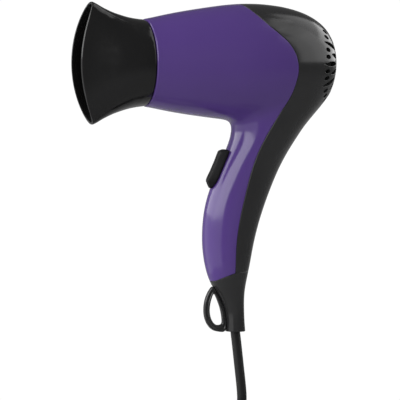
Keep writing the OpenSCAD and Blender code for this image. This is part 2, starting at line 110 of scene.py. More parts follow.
def span(nt, src, lo, hi, a=0.3, b=0.7):
    m = nt.nodes.new("ShaderNodeMapRange")
    m.inputs["From Min"].default_value = a
    m.inputs["From Max"].default_value = b
    m.inputs["To Min"].default_value = lo
    m.inputs["To Max"].default_value = hi
    nt.links.new(src, m.inputs["Value"])
    return m


def add_bump(nt, b, src, strength, dist):
    bp = nt.nodes.new("ShaderNodeBump")
    bp.inputs["Strength"].default_value = strength
    bp.inputs["Distance"].default_value = dist
    nt.links.new(src, bp.inputs["Height"])
    nt.links.new(bp.outputs[0], b.inputs["Normal"])
    return bp


def shade(c, f):
    return tuple(max(0.0, min(1.0, x * f)) for x in c)


def plastic(name, color, rough=0.3, spread=0.05, vary=0.06, grain=900.0, bump=0.04, spec=0.5, coat=0.0, coat_rough=0.05, metal=0.0, broad=14.0, depth=0.00005):
    """Moulded plastic: slow colour drift, a finer roughness drift and a fine surface grain."""
    m, nt, b = new_mat(name)
    n1 = noise(nt, broad, 3.0)
    r = ramp(nt, n1.outputs["Fac"], [(0.3, shade(color, 1 - vary)), (0.7, shade(color, 1 + vary))])
    nt.links.new(r.outputs[0], b.inputs["Base Color"])
    n2 = noise(nt, broad * 9, 5.0, 0.6)
    s = span(nt, n2.outputs["Fac"], max(0.02, rough - spread), rough + spread)
    nt.links.new(s.outputs[0], b.inputs["Roughness"])
    n3 = noise(nt, grain, 3.0)
    add_bump(nt, b, n3.outputs["Fac"], bump, depth)
    b.inputs["Specular IOR Level"].default_value = spec
    b.inputs["Metallic"].default_value = metal
    b.inputs["Coat Weight"].default_value = coat
    b.inputs["Coat Roughness"].default_value = coat_rough
    return m


def brushed(name, color, rough=0.35, stretch=(1, 60, 60), grain=120.0, bump=0.15):
    """Drawn or turned metal with fine lines one way and a slight tarnish."""
    m, nt, b = new_mat(name)
    n1 = noise(nt, grain, 4.0, 0.6, stretch)
    r = ramp(nt, n1.outputs["Fac"], [(0.3, shade(color, 0.78)), (0.55, color), (0.75, shade(color, 1.12))])
    nt.links.new(r.outputs[0], b.inputs["Base Color"])
    s = span(nt, n1.outputs["Fac"], rough - 0.08, rough + 0.12)
    nt.links.new(s.outputs[0], b.inputs["Roughness"])
    add_bump(nt, b, n1.outputs["Fac"], bump, 0.00004)
    b.inputs["Metallic"].default_value = 1.0
    return m


def weave(name, color, scale=700.0, rough=0.85):
    """Close woven tape."""
    m, nt, b = new_mat(name)
    tc = nt.nodes.new("ShaderNodeTexCoord")
    w1 = nt.nodes.new("ShaderNodeTexWave")
    w1.bands_direction = "Y"
    w1.inputs["Scale"].default_value = scale
    w1.inputs["Distortion"].default_value = 0.6
    w2 = nt.nodes.new("ShaderNodeTexWave")
    w2.bands_direction = "DIAGONAL"
    w2.inputs["Scale"].default_value = scale
    w2.inputs["Distortion"].default_value = 0.6
    nt.links.new(tc.outputs["Object"], w1.inputs["Vector"])
    nt.links.new(tc.outputs["Object"], w2.inputs["Vector"])
    mx = nt.nodes.new("ShaderNodeMath")
    mx.operation = "MAXIMUM"
    nt.links.new(w1.outputs["Fac"], mx.inputs[0])
    nt.links.new(w2.outputs["Fac"], mx.inputs[1])
    r = ramp(nt, mx.outputs[0], [(0.2, shade(color, 0.5)), (0.9, shade(color, 1.5))])
    nt.links.new(r.outputs[0], b.inputs["Base Color"])
    s = span(nt, mx.outputs[0], rough + 0.05, rough - 0.1, 0.0, 1.0)
    nt.links.new(s.outputs[0], b.inputs["Roughness"])
    add_bump(nt, b, mx.outputs[0], 0.5, 0.0002)
    b.inputs["Sheen Weight"].default_value = 0.3
    return m


# ------------------------------------------------------------------ mesh tools
def mesh_object(name, verts, faces, mat=None, smooth=True, loop_normals=None):
    """Vertices are in design millimetres."""
    me = bpy.data.meshes.new(name)
    me.from_pydata(place(verts).tolist(), [], [list(map(int, f)) for f in faces])
    me.validate(verbose=False)
    me.update()
    if smooth:
        me.polygons.foreach_set("use_smooth", np.ones(len(me.polygons), bool))
    if loop_normals is not None and len(loop_normals) == len(me.loops):
        me.normals_split_custom_set([tuple(n) for n in loop_normals])
    ob = bpy.data.objects.new(name, me)
    scene.collection.objects.link(ob)
    if mat:
        me.materials.append(mat)
    return ob


def finish_piece(ob, body, slot, *nodes):
    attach(ob, body)
    if nodes:
        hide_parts(*nodes)
    return ob


def catmull(p, i, t):
    n = len(p)
    a, b, c, d = p[max(i - 1, 0)], p[i], p[min(i + 1, n - 1)], p[min(i + 2, n - 1)]
    return 0.5 * (2 * b + (c - a) * t + (2 * a - 5 * b + 4 * c - d) * t * t + (3 * b - 3 * c + d - a) * t ** 3)


def smooth_path(p, m):
    p = np.asarray(p, float)
    out = [catmull(p, i, j / m) for i in range(len(p) - 1) for j in range(m)]
    return np.array(out + [p[-1]])


class Spline:
    """Natural cubic spline, values past the ends run on straight."""
    def __init__(self, x, y):
        x = np.asarray(x, float)
        y = np.asarray(y, float)
        n = len(x)
        h = np.diff(x)
        A = np.zeros((n, n))
        r = np.zeros(n)
        A[0, 0] = A[-1, -1] = 1
        for i in range(1, n - 1):
            A[i, i - 1], A[i, i], A[i, i + 1] = h[i - 1], 2 * (h[i - 1] + h[i]), h[i]
            r[i] = 6 * ((y[i + 1] - y[i]) / h[i] - (y[i] - y[i - 1]) / h[i - 1])
        self.x, self.y, self.h, self.m = x, y, h, np.linalg.solve(A, r)

    def __call__(self, q):
        q = np.asarray(q, float)
        x, y, h, m = self.x, self.y, self.h, self.m
        qc = np.clip(q, x[0], x[-1])
        i = np.clip(np.searchsorted(x, qc) - 1, 0, len(x) - 2)
        a = (x[i + 1] - qc) / h[i]
        b = 1 - a
        v = a * y[i] + b * y[i + 1] + ((a ** 3 - a) * m[i] + (b ** 3 - b) * m[i + 1]) * h[i] ** 2 / 6
        s0 = (y[1] - y[0]) / h[0] - h[0] * m[1] / 6
        s1 = (y[-1] - y[-2]) / h[-1] + h[-1] * m[-2] / 6
        return v + np.where(q < x[0], (q - x[0]) * s0, 0) + np.where(q > x[-1], (q - x[-1]) * s1, 0)


# ------------------------------------------------------------------ cord first
cord_mat = plastic("cord_pvc", (0.010, 0.010, 0.0102), 0.42, 0.06, 0.15, 1500.0, 0.1, 0.4, depth=0.00006)
FLOOR = -288.3
COIL = np.array([42.5, 30.0])
COIL_Z = FLOOR + 0.8
drop = smooth_path([[68.9, 0, -194.4], [70.2, 0, -205], [71.9, 0, -220], [73.6, 0, -235], [74.3, 0.4, -244], [74.4, 3, -252.5], [74.2, 8, -260], [74, 15, -265.8]], 6)


def coil_rz(t):
    """Radius and height of the winding after t turns: two turns on top, then a spiral in and a spiral out below."""
    R = np.interp(t, [0, 0.9, 1.8, 2.25, 4.25, 4.5, 4.75, 6.75], [31.5, 39.3, 45.0, 45.5, 31.5, 30.9, 31.5, 45.5])
    z = np.interp(t, [0, 1.8, 2.3, 4.2, 4.8, 6.75], [17.5, 17.5, 10.5, 10.5, 3.5, 3.5])
    return R, z


tt = np.linspace(0, 6.75, 6 * 48 + 37)
Rr, zz = coil_rz(tt)
ker = np.hanning(19)
ker /= ker.sum()
Rs = np.convolve(np.pad(Rr, 9, mode="edge"), ker, "valid")
zs = np.convolve(np.pad(zz, 9, mode="edge"), ker, "valid")
ang = 2 * np.pi * tt
coil_path = np.stack([COIL[0] + Rs * np.cos(ang), COIL[1] + Rs * np.sin(ang), COIL_Z + zs], 1)
tail = smooth_path([[43, -15.5, -284], [51, -15.6, -284], [59, -16, -283.6], [67, -17, -282], [75, -18.2, -279.5], [83, -19.4, -277], [91, -20, -275.5]], 6)
arc = np.radians(np.array([68, 76, 84]))
join = np.stack([np.full(3, 74.0), 30 - 30 * np.cos(arc), -240 - 30 * np.sin(arc)], 1)
route = np.concatenate([drop, join, coil_path[1:-3], tail[2:]])
# even spacing along one smooth line
def resample(p, step):
    s = np.concatenate([[0], np.cumsum(np.linalg.norm(np.diff(p, axis=0), axis=1))])
    n = int(s[-1] / step) + 1
    q = np.linspace(0, s[-1], n)
    return np.stack([np.interp(q, s, p[:, k]) for k in range(3)], 1), s[-1]


route, total = resample(route, 2.5)
k5 = np.array([1, 2, 3, 2, 1]) / 9.0
core = np.stack([np.convolve(route[:, k], k5, "valid") for k in range(3)], 1)
route = np.concatenate([route[:2], core, route[-2:]])
cu = bpy.data.curves.new("mains_cord", "CURVE")
cu.dimensions = "3D"
cu.bevel_depth = 0.0035
cu.bevel_resolution = 5
cu.use_fill_caps = True
sp = cu.splines.new("POLY")
sp.points.add(len(route) - 1)
for q, p in zip(sp.points, place(route)):
    q.co = (*p, 1)
sp.use_smooth = True
cu.materials.append(cord_mat)
cord = bpy.data.objects.new("mains_cord", cu)
scene.collection.objects.link(cord)
finish_piece(cord, "root", "cord_black", "power_cord", "cord_coil", "plug_lead")
print("cord length mm", round(total, 1))

# ------------------------------------------------------------------ body skin: one smooth surface, then cut into its mouldings
BARREL = [(-14, 29.5), (-7, 30.4), (0, 31.3), (12, 33.8), (27, 36.5), (42, 38.8), (57, 40.8), (72, 42), (80, 42.1), (88, 41.8), (96, 41),
          (104, 39.8), (112, 37.9), (119, 35.6), (125, 32.8), (130, 29.7), (134, 26.3), (137.5, 22), (140.3, 16.8), (142, 11), (142.9, 5.5), (143.2, 0)]
PX = 85.0                                  # pole of the polar form of the barrel's outline


def smoothing(z, v, lam):
    """Cubic smoothing through the stations, so that the gloss doesn't show each one."""
    n = len(z)
    D = np.zeros((n - 2, n))
    for i in range(n - 2):
        h0, h1 = z[i + 1] - z[i], z[i + 2] - z[i + 1]
        D[i, i], D[i, i + 1], D[i, i + 2] = 2 / (h0 * (h0 + h1)), -2 / (h0 * h1), 2 / (h1 * (h0 + h1))
    T = np.zeros((n - 3, n - 2))
    for i in range(n - 3):
        T[i, i], T[i, i + 1] = -1, 1
    E = T @ D
    return np.linalg.solve(np.eye(n) + lam * E.T @ E, v)


bp_ = np.array(BARREL, float)
phi_s = np.arctan2(bp_[:, 1], bp_[:, 0] - PX)
rad_s = np.hypot(bp_[:, 1], bp_[:, 0] - PX)
phi_m = np.concatenate([-phi_s[:-1], phi_s[::-1]])      # mirrored, so that the dome closes flat
rad_m = np.concatenate([rad_s[:-1], rad_s[::-1]])
smo = smoothing(phi_m, rad_m, 1e-6)
polar_r = Spline(phi_m, smo)
print("barrel fit, worst mm", float(np.abs(smo - rad_m).max().round(3)))


def f_barrel(p):
    dx = p[..., 0] - PX
    rho = np.hypot(p[..., 1], p[..., 2])
    d = np.hypot(dx, rho)
    phi = np.arctan2(rho, dx)
    r = polar_r(phi)
    e = 1e-3
    dr = (polar_r(phi + e) - polar_r(phi - e)) / (2 * e)
    return (d - r) / np.sqrt(1 + (dr / np.maximum(d, 5.0)) ** 2)


HANDLE = [(-22, 101, 33, 25), (-30, 99, 31.5, 26.5), (-38, 96.9, 29.1, 26.5), (-47, 93.4, 26.1, 25.2), (-56, 89.8, 23.7, 23.6),
          (-64, 85.2, 23.1, 21.8), (-76, 79.2, 22.4, 20), (-88, 74, 22.2, 19.3), (-100, 69.5, 21.9, 18.8), (-110, 66.7, 21.1, 18.5),
          (-122, 64.4, 19.8, 18.3), (-134, 63, 18.3, 17.5), (-146, 62.9, 16.2, 16.4), (-152, 63, 14.9, 15.4), (-158, 63.3, 13.4, 14),
          (-163, 64, 11.5, 12.3), (-168, 65.6, 9.6, 10.8), (-174, 67.1, 8.1, 9), (-180, 68.1, 7.3, 8), (-187, 68.6, 7, 7.5),
          (-193.4, 68.9, 7.2, 7.6), (-200, 69.2, 7.6, 7.9)]
hs = np.array(HANDLE, float)[::-1]


cS = Spline(hs[:, 0], smoothing(hs[:, 0], hs[:, 1], 600.0))
aS = Spline(hs[:, 0], smoothing(hs[:, 0], hs[:, 2], 600.0))
bS = Spline(hs[:, 0], smoothing(hs[:, 0], hs[:, 3], 600.0))
print("handle fit, worst mm", [round(float(np.abs(s(hs[:, 0]) - hs[:, k]).max()), 2) for s, k in ((cS, 1), (aS, 2), (bS, 3))])


def f_handle(p):
    z = np.minimum(p[..., 2], -22.0)
    c, a, b = cS(z), aS(z), bS(z)
    top = np.maximum(p[..., 2] + 22.0, 0) / 40.0
    q = np.sqrt(((p[..., 0] - c) / a) ** 2 + (p[..., 1] / b) ** 2 + top ** 2 + 1e-9)
    return (q - 1) * 2 * a * b / (a + b)


def f_body(p):
    fb, fh = f_barrel(p), f_handle(p)
    k = 10.0 + 3.0 / (1 + np.exp((p[..., 0] - 88.0) / 6.0)) + 10.0 / (1 + np.exp((114.0 - p[..., 0]) / 4.0))
    h = np.maximum(k - np.abs(fb - fh), 0) / k
    return np.minimum(fb, fh) - h ** 3 * k / 6


def gradient(f, p, e=0.02):
    g = np.zeros(p.shape)
    for i in range(3):
        d = np.zeros(3)
        d[i] = e
        g[..., i] = (f(p + d) - f(p - d)) / (2 * e)
    return g


def settle(f, p, steps=3):
    """Moves points onto f = 0."""
    for _ in range(steps):
        g = gradient(f, p)
        p = p - (f(p) / np.maximum((g * g).sum(-1), 1e-6))[..., None] * g
    return p


def surface_nets(f, lo, hi, h):
    n = [int(round((b - a) / h)) + 1 for a, b in zip(lo, hi)]
    ax = [lo[i] + h * np.arange(n[i]) for i in range(3)]
    G = np.stack(np.meshgrid(*ax, indexing="ij"), -1)
    V = np.concatenate([f(G[i:i + 16]) for i in range(0, n[0], 16)], 0)
    inside = V < 0
    acc = np.zeros((n[0] - 1, n[1] - 1, n[2] - 1, 3))
    cnt = np.zeros((n[0] - 1, n[1] - 1, n[2] - 1))
    for d in range(3):
        s0, s1 = [slice(None)] * 3, [slice(None)] * 3
        s0[d], s1[d] = slice(0, -1), slice(1, None)
        s0, s1 = tuple(s0), tuple(s1)
        cross = inside[s0] != inside[s1]
        i, j, k = np.nonzero(cross)
        v0, v1 = V[s0][cross], V[s1][cross]
        t = v0 / (v0 - v1)
        P = G[s0][cross].copy()
        P[:, d] += t * h
        o = [e for e in range(3) if e != d]
        for da in (0, -1):
            for db in (0, -1):
                idx = [i.copy(), j.copy(), k.copy()]
                idx[o[0]] = idx[o[0]] + da
                idx[o[1]] = idx[o[1]] + db
                ok = np.ones(len(i), bool)
                for e in range(3):
                    ok &= (idx[e] >= 0) & (idx[e] < n[e] - 1)
                np.add.at(acc, (idx[0][ok], idx[1][ok], idx[2][ok]), P[ok])
                np.add.at(cnt, (idx[0][ok], idx[1][ok], idx[2][ok]), 1)
    has = cnt > 0
    ids = -np.ones(cnt.shape, int)
    ids[has] = np.arange(has.sum())
    verts = acc[has] / cnt[has][:, None]
    quads = []
    for d in range(3):
        s0, s1 = [slice(None)] * 3, [slice(None)] * 3
        s0[d], s1[d] = slice(0, -1), slice(1, None)
        a_in, b_in = inside[tuple(s0)], inside[tuple(s1)]
        o = [(d + 1) % 3, (d + 2) % 3]
        i, j, k = np.nonzero(a_in != b_in)
        flip = a_in[i, j, k]
        cell = np.stack([i, j, k], 1)
        ok = (cell[:, o[0]] > 0) & (cell[:, o[1]] > 0)
        for e in o:
            ok &= cell[:, e] < cnt.shape[e]
        cell, flip = cell[ok], flip[ok]
        def at(da, db):
            c = cell.copy()
            c[:, o[0]] += da
            c[:, o[1]] += db
            return ids[c[:, 0], c[:, 1], c[:, 2]]
        q = np.stack([at(-1, -1), at(0, -1), at(0, 0), at(-1, 0)], 1)
        q[~flip] = q[~flip][:, ::-1]
        quads.append(q)
    quads = np.concatenate(quads)
    quads = quads[(quads >= 0).all(1)]
    return verts, quads


def relax(f, v, quads, rounds=6):
    e = np.concatenate([quads[:, [0, 1]], quads[:, [1, 2]], quads[:, [2, 3]], quads[:, [3, 0]]])
    for _ in range(rounds):
        s = np.zeros(v.shape)
        c = np.zeros(len(v))
        np.add.at(s, e[:, 0], v[e[:, 1]])
        np.add.at(s, e[:, 1], v[e[:, 0]])
        np.add.at(c, e[:, 0], 1)
        np.add.at(c, e[:, 1], 1)
        v = settle(f, v + 0.6 * (s / np.maximum(c, 1)[:, None] - v), 1)
    return settle(f, v, 2)


def split(v, tri, cut, pos):
    """Splits each triangle at its cut edges. cut holds edge keys, pos the new points, both in the same order."""
    n = len(v)
    def key(a, b):
        return np.minimum(a, b) * n + np.maximum(a, b)
    order = np.argsort(cut)
    cs = cut[order]
    def find(k):
        if len(cs) == 0:
            return -np.ones(len(k), int)
        i = np.clip(np.searchsorted(cs, k), 0, len(cs) - 1)
        return np.where(cs[i] == k, order[i] + n, -1)
    m = np.stack([find(key(tri[:, i], tri[:, (i + 1) % 3])) for i in range(3)], 1)
    cnt = (m >= 0).sum(1)
    out = [tri[cnt == 0]]
    t, q = tri[cnt == 3], m[cnt == 3]
    out += [np.stack([t[:, 0], q[:, 0], q[:, 2]], 1), np.stack([q[:, 0], t[:, 1], q[:, 1]], 1), np.stack([q[:, 2], q[:, 1], t[:, 2]], 1), q]
    for r in range(3):
        a, b, c = r, (r + 1) % 3, (r + 2) % 3
        s = (cnt == 1) & (m[:, a] >= 0)
        t, q = tri[s], m[s]
        out += [np.stack([t[:, a], q[:, a], t[:, c]], 1), np.stack([q[:, a], t[:, b], t[:, c]], 1)]
        s = (cnt == 2) & (m[:, a] < 0)
        t, q = tri[s], m[s]
        # cut edges are b (b..c) and c (c..a)
        out += [np.stack([q[:, b], t[:, c], q[:, c]], 1), np.stack([t[:, a], t[:, b], q[:, b]], 1), np.stack([t[:, a], q[:, b], q[:, c]], 1)]
    return np.concatenate([v, pos]), np.concatenate([o.astype(int) for o in out])


def edges_of(tri):
    e = np.sort(np.concatenate([tri[:, [0, 1]], tri[:, [1, 2]], tri[:, [2, 0]]]), 1)
    return np.unique(e, axis=0)


def refine(f, v, tri, g, band, length):
    """Halves the edges near g = 0 that are longer than length."""
    e = edges_of(tri)
    gm = g(v)
    near = np.minimum(np.abs(gm[e[:, 0]]), np.abs(gm[e[:, 1]])) < band
    near |= gm[e[:, 0]] * gm[e[:, 1]] < 0
    near &= np.linalg.norm(v[e[:, 0]] - v[e[:, 1]], axis=1) > length
    e = e[near]
    pos = settle(f, (v[e[:, 0]] + v[e[:, 1]]) / 2, 2)
    return split(v, tri, e[:, 0] * len(v) + e[:, 1], pos)


def slice_at(f, v, tri, g, level):
    """Puts vertices along g = level."""
    gv = g(v) - level
    gv[np.abs(gv) < 0.012] = 0.0
    e = edges_of(tri)
    c = gv[e[:, 0]] * gv[e[:, 1]] < 0
    e = e[c]
    a, b = gv[e[:, 0]], gv[e[:, 1]]
    t = (a / (a - b))[:, None]
    pos = v[e[:, 0]] * (1 - t) + v[e[:, 1]] * t
    for _ in range(2):
        pos = settle(f, pos, 1)
        d = g(pos) - level
        gg = gradient(g, pos)
        n = gradient(f, pos)
        n /= np.linalg.norm(n, axis=1)[:, None]
        gg -= (gg * n).sum(1)[:, None] * n
        pos = pos - (np.clip(d, -0.3, 0.3) / np.maximum((gg * gg).sum(1), 0.05))[:, None] * gg
    pos = settle(f, pos, 1)
    return split(v, tri, e[:, 0] * len(v) + e[:, 1], pos)


def shell_piece(name, f, v, tri, cuts, wall, mat):
    """Cuts the skin by each (g, rounding) where g is positive on the piece, rounds the cut edges and gives the piece its wall."""
    for g, r in cuts:
        for lv in ((0.0, 0.12 * r, 0.42 * r, r) if r > 0.3 else (0.0, 0.3 * r, r)):
            v, tri = slice_at(f, v, tri, g, lv)
        mid = v[tri].mean(1)
        keep = g(mid) > 0
        keep &= (np.stack([g(v[tri[:, i]]) for i in range(3)], 1) > -0.05).all(1)
        tri = tri[keep]
        used = np.unique(tri)
        remap = -np.ones(len(v), int)
        remap[used] = np.arange(len(used))
        v, tri = v[used], remap[tri]
    # drop zero-area slivers by welding very short edges
    e = edges_of(tri)
    short = e[np.linalg.norm(v[e[:, 0]] - v[e[:, 1]], axis=1) < 0.02]
    root = np.arange(len(v))
    for _ in range(12):
        before = root.copy()
        np.minimum.at(root, short[:, 1], root[short[:, 0]])
        np.minimum.at(root, short[:, 0], root[short[:, 1]])
        root = root[root]
        if (root == before).all():
            break
    tri = root[tri]
    tri = tri[(tri[:, 0] != tri[:, 1]) & (tri[:, 1] != tri[:, 2]) & (tri[:, 2] != tri[:, 0])]
    used = np.unique(tri)
    remap = -np.ones(len(v), int)
    remap[used] = np.arange(len(used))
    v, tri = v[used], remap[tri]
    n = gradient(f, v)
    n /= np.linalg.norm(n, axis=1)[:, None]
    depth = np.zeros(len(v))
    lean = np.zeros(v.shape)
    for g, r in cuts:
        gv = np.clip(g(v), 0, None)
        gg = gradient(g, v)
        gg -= (gg * n).sum(1)[:, None] * n
        gg /= np.maximum(np.linalg.norm(gg, axis=1), 1e-6)[:, None]
        x = np.clip(1 - gv / r, 0, 1)
        depth = np.maximum(depth, r * (1 - np.sqrt(np.clip(1 - x * x, 0, 1))))
        lean -= gg * (x / np.sqrt(np.clip(1 - x * x, 0.02, 1)))[:, None]
    outer = v - n * depth[:, None]
    n_out = n + lean
    n_out /= np.linalg.norm(n_out, axis=1)[:, None]
    inner = v - n * wall
    N = len(v)
    # boundary half-edges run the same way as their triangle
    he = np.concatenate([tri[:, [0, 1]], tri[:, [1, 2]], tri[:, [2, 0]]])
    key = he[:, 0] * N + he[:, 1]
    rev = he[:, 1] * N + he[:, 0]
    be = he[~np.isin(key, rev)]
    rim = np.stack([be[:, 1], be[:, 0], be[:, 0] + N, be[:, 1] + N], 1)
    verts = np.concatenate([outer, inner])
    rim_n = outer[be[:, 1]] - outer[be[:, 0]]
    rim_n = np.cross(rim_n, n[be[:, 0]])
    rim_n /= np.maximum(np.linalg.norm(rim_n, axis=1), 1e-9)[:, None]
    rn = np.zeros((N, 3))
    np.add.at(rn, be[:, 0], rim_n)
    np.add.at(rn, be[:, 1], rim_n)
    rn /= np.maximum(np.linalg.norm(rn, axis=1), 1e-9)[:, None]
    faces = [tuple(t) for t in tri] + [tuple(t) for t in (tri[:, ::-1] + N)] + [tuple(q) for q in rim]
    ln = np.concatenate([n_out[tri].reshape(-1, 3), -n[tri[:, ::-1]].reshape(-1, 3), rn[rim % N].reshape(-1, 3)])
    me = bpy.data.meshes.new(name)
    me.from_pydata(place(verts).tolist(), [], faces)
    me.update()
    me.polygons.foreach_set("use_smooth", np.ones(len(me.polygons), bool))
    me.normals_split_custom_set([tuple(x) for x in ln])
    me.materials.append(mat)
    ob = bpy.data.objects.new(name, me)
    scene.collection.objects.link(ob)
    return ob


def line_distance(q, pts):
    """Signed distance of 2-D points to an open line, positive on its left, running on past both ends."""
    a, b = pts[:-1], pts[1:]
    best = np.full(len(q), 1e9)
    sign = np.ones(len(q))
    for i in range(len(a)):
        d = b[i] - a[i]
        t = ((q - a[i]) @ d) / (d @ d)
        if i > 0:
            t = np.maximum(t, 0)
        if i < len(a) - 1:
            t = np.minimum(t, 1)
        w = q - a[i] - t[:, None] * d
        dist = np.hypot(w[:, 0], w[:, 1])
        s = d[0] * (q[:, 1] - a[i][1]) - d[1] * (q[:, 0] - a[i][0])
        m = dist < best
        best[m] = dist[m]
        sign[m] = np.where(s[m] >= 0, 1.0, -1.0)
    return best * sign


PARTING = smooth_path([[64, 60], [68, 50], [72, 41], [82, 28.5], [91, 20], [96.5, 14.5], [100.5, 8], [102.8, 1.5], [103.5, -6], [102.5, -13], [99.3, -26],
                       [93.3, -37], [87, -48], [83.5, -55], [79, -65], [74, -80], [69.5, -98], [66.2, -113], [64, -130], [63.8, -152], [64, -175]], 4)
CAPSEAM = smooth_path([[30, -167], [40, -162.5], [50, -158], [56, -154.5], [64, -151.4], [72, -150.6], [86, -150.6], [100, -150.6]], 4)


class Table:
    """Signed distance to a line in X and Z, kept on a fine grid."""
    def __init__(self, pts, x0=-12.0, x1=152.0, z0=-204.0, z1=56.0, h=0.5):
        self.x0, self.z0, self.h = x0, z0, h
        self.n = (int((x1 - x0) / h) + 1, int((z1 - z0) / h) + 1)
        X, Z = np.meshgrid(x0 + h * np.arange(self.n[0]), z0 + h * np.arange(self.n[1]), indexing="ij")
        self.t = line_distance(np.stack([X.ravel(), Z.ravel()], 1), pts).reshape(self.n)

    def __call__(self, p):
        a = np.clip((p[:, 0] - self.x0) / self.h, 0, self.n[0] - 1.001)
        b = np.clip((p[:, 2] - self.z0) / self.h, 0, self.n[1] - 1.001)
        i, j = a.astype(int), b.astype(int)
        u, w = a - i, b - j
        t = self.t
        return (t[i, j] * (1 - u) + t[i + 1, j] * u) * (1 - w) + (t[i, j + 1] * (1 - u) + t[i + 1, j + 1] * u) * w


part_table, seam_table = Table(PARTING), Table(CAPSEAM)


def g_part(p):          # positive on the front, purple side
    return -part_table(p)


def g_seam(p):          # positive above the end cap
    return seam_table(p)


def sd_vesica(x, y, half_len, half_w):
    """Distance to a leaf outline, its tips on the x axis."""
    d = (half_len ** 2 - half_w ** 2) / (2 * half_w)
    r = half_w + d
    x, y = np.abs(x), np.abs(y)
    tip = (x - half_len) * d > y * half_len
    return np.where(tip, np.hypot(x - half_len, y), np.hypot(x, y + d) - r)


def g_slots(p):         # positive outside the air slots of the rear dome
    rho = np.hypot(p[:, 1], p[:, 2] + 1.2)
    th = np.arctan2(p[:, 2] + 1.2, p[:, 1])
    out = np.full(len(p), 9.0)
    for off, mid, hl, hw, step in ((0.0, 26.1, 6.1, 1.8, 30.0), (15.0, 21.0, 6.0, 1.7, 30.0), (0.0, 9.5, 4.5, 1.5, 60.0)):
        a = (np.degrees(th) - off + step / 2) % step - step / 2
        a = np.radians(a)
        x, y = rho * np.cos(a) - mid, rho * np.sin(a)
        out = np.minimum(out, sd_vesica(x, y, hl - 0.45, hw - 0.45) - 0.45)
    a = np.abs((np.degrees(th) + 15.0) % 30.0 - 15.0)
    a = np.radians(a - 10.0)
    out = np.minimum(out, np.hypot(rho * np.cos(a) - 30.0, rho * np.sin(a)) - 1.6)
    return np.where(p[:, 0] > 114.0, out, 9.0)


SW = np.array([56.2, 0, -77.0])
TILT = math.radians(23.4)


def to_switch(p):
    """Design frame to the switch's own frame: x in, y across, z along the slide."""
    q = p - SW
    return np.stack([q[:, 0] * math.cos(TILT) - q[:, 2] * math.sin(TILT), q[:, 1], q[:, 0] * math.sin(TILT) + q[:, 2] * math.cos(TILT)], 1)


def from_switch(q):
    q = np.asarray(q, float)
    return np.stack([q[..., 0] * math.cos(TILT) + q[..., 2] * math.sin(TILT), q[..., 1], -q[..., 0] * math.sin(TILT) + q[..., 2] * math.cos(TILT)], -1) + SW


def g_window(p):
    q = to_switch(p)
    r = np.where(q[:, 2] < 2.7, 4.0, 1.2)        # round lower end, as the cap's
    x, y = np.abs(q[:, 1]) - 4.4 + r, np.abs(q[:, 2] - 2.7) - 9.7 + r
    d = np.hypot(np.maximum(x, 0), np.maximum(y, 0)) + np.minimum(np.maximum(x, y), 0) - r
    return np.where(q[:, 0] < 14.0, d, 9.0)


def g_wells(p):
    a = np.hypot(p[:, 1], p[:, 2] + 50.0) - 3.2
    b = np.hypot(p[:, 1], p[:, 2] + 128.0) - 3.2
    return np.where(p[:, 0] > 70.0, np.minimum(a, b), 9.0)


skin_v, skin_q = surface_nets(f_body, (-9, -46, -202), (150, 46, 48), 1.6)
skin_v = relax(f_body, skin_v, skin_q)
skin_t = np.concatenate([skin_q[:, [0, 1, 2]], skin_q[:, [0, 2, 3]]])
c_ = np.cross(skin_v[skin_t[:, 1]] - skin_v[skin_t[:, 0]], skin_v[skin_t[:, 2]] - skin_v[skin_t[:, 0]])
if (c_ * gradient(f_body, skin_v[skin_t].mean(1))).sum() < 0:
    skin_t = skin_t[:, ::-1]
print("skin", len(skin_v), "points", len(skin_t), "triangles")

purple_mat = plastic("purple_shell", (0.080, 0.042, 0.198), 0.15, 0.02, 0.03, 2600.0, 0.02, 0.5)
shell_mat = plastic("black_shell", (0.0215, 0.0215, 0.022), 0.17, 0.03, 0.08, 2200.0, 0.03, 0.5)

def carve(name, mat, wall, cuts, fine):
    v, t = skin_v, skin_t
    for g, r in cuts:                       # rough cut first, so that later steps are quick
        t = t[g(v[t].mean(1)) > -3.0]
    used = np.unique(t)
    remap = -np.ones(len(v), int)
    remap[used] = np.arange(len(used))
    v, t = v[used], remap[t]
    for g, band, length, rounds in fine:
        for _ in range(rounds):
            v, t = refine(f_body, v, t, g, band, length)
    return shell_piece(name, f_body, v, t, cuts, wall, mat)


front = carve("front_shell_skin", purple_mat, 2.2,
              [(lambda p: g_part(p) - 0.06, 0.4), (lambda p: g_seam(p) - 0.06, 0.35), (lambda p: p[:, 0] + 0.0, 1.3), (g_window, 0.4)],
              [(g_part, 0.8, 1.1, 1), (g_seam, 0.8, 1.1, 1), (lambda p: p[:, 0], 0.8, 1.1, 1), (g_window, 1.2, 0.8, 1)])
finish_piece(front, "root", "purple_shell", "front_shell")
rear = carve("rear_shell_skin", shell_mat, 2.2,
             [(lambda p: -g_part(p) - 0.06, 0.6), (lambda p: g_seam(p) - 0.06, 0.35), (g_wells, 0.35), (g_slots, 0.16)],
             [(g_part, 0.8, 1.1, 1), (g_seam, 0.8, 1.1, 1), (g_wells, 0.8, 0.8, 1), (g_slots, 0.6, 0.75, 1)])
finish_piece(rear, "root", "black_shell", "rear_shell")
cap = carve("end_cap_skin", shell_mat, 2.0,
            [(lambda p: -g_seam(p) - 0.06, 0.35), (lambda p: p[:, 2] + 194.4, 0.45)],
            [(g_seam, 0.8, 1.1, 1), (lambda p: p[:, 2] + 194.4, 1.6, 0.8, 1)])
finish_piece(cap, "root", "black_trim", "end_cap")
for o in (front, rear, cap):
    print(o.name, len(o.data.vertices), len(o.data.polygons))


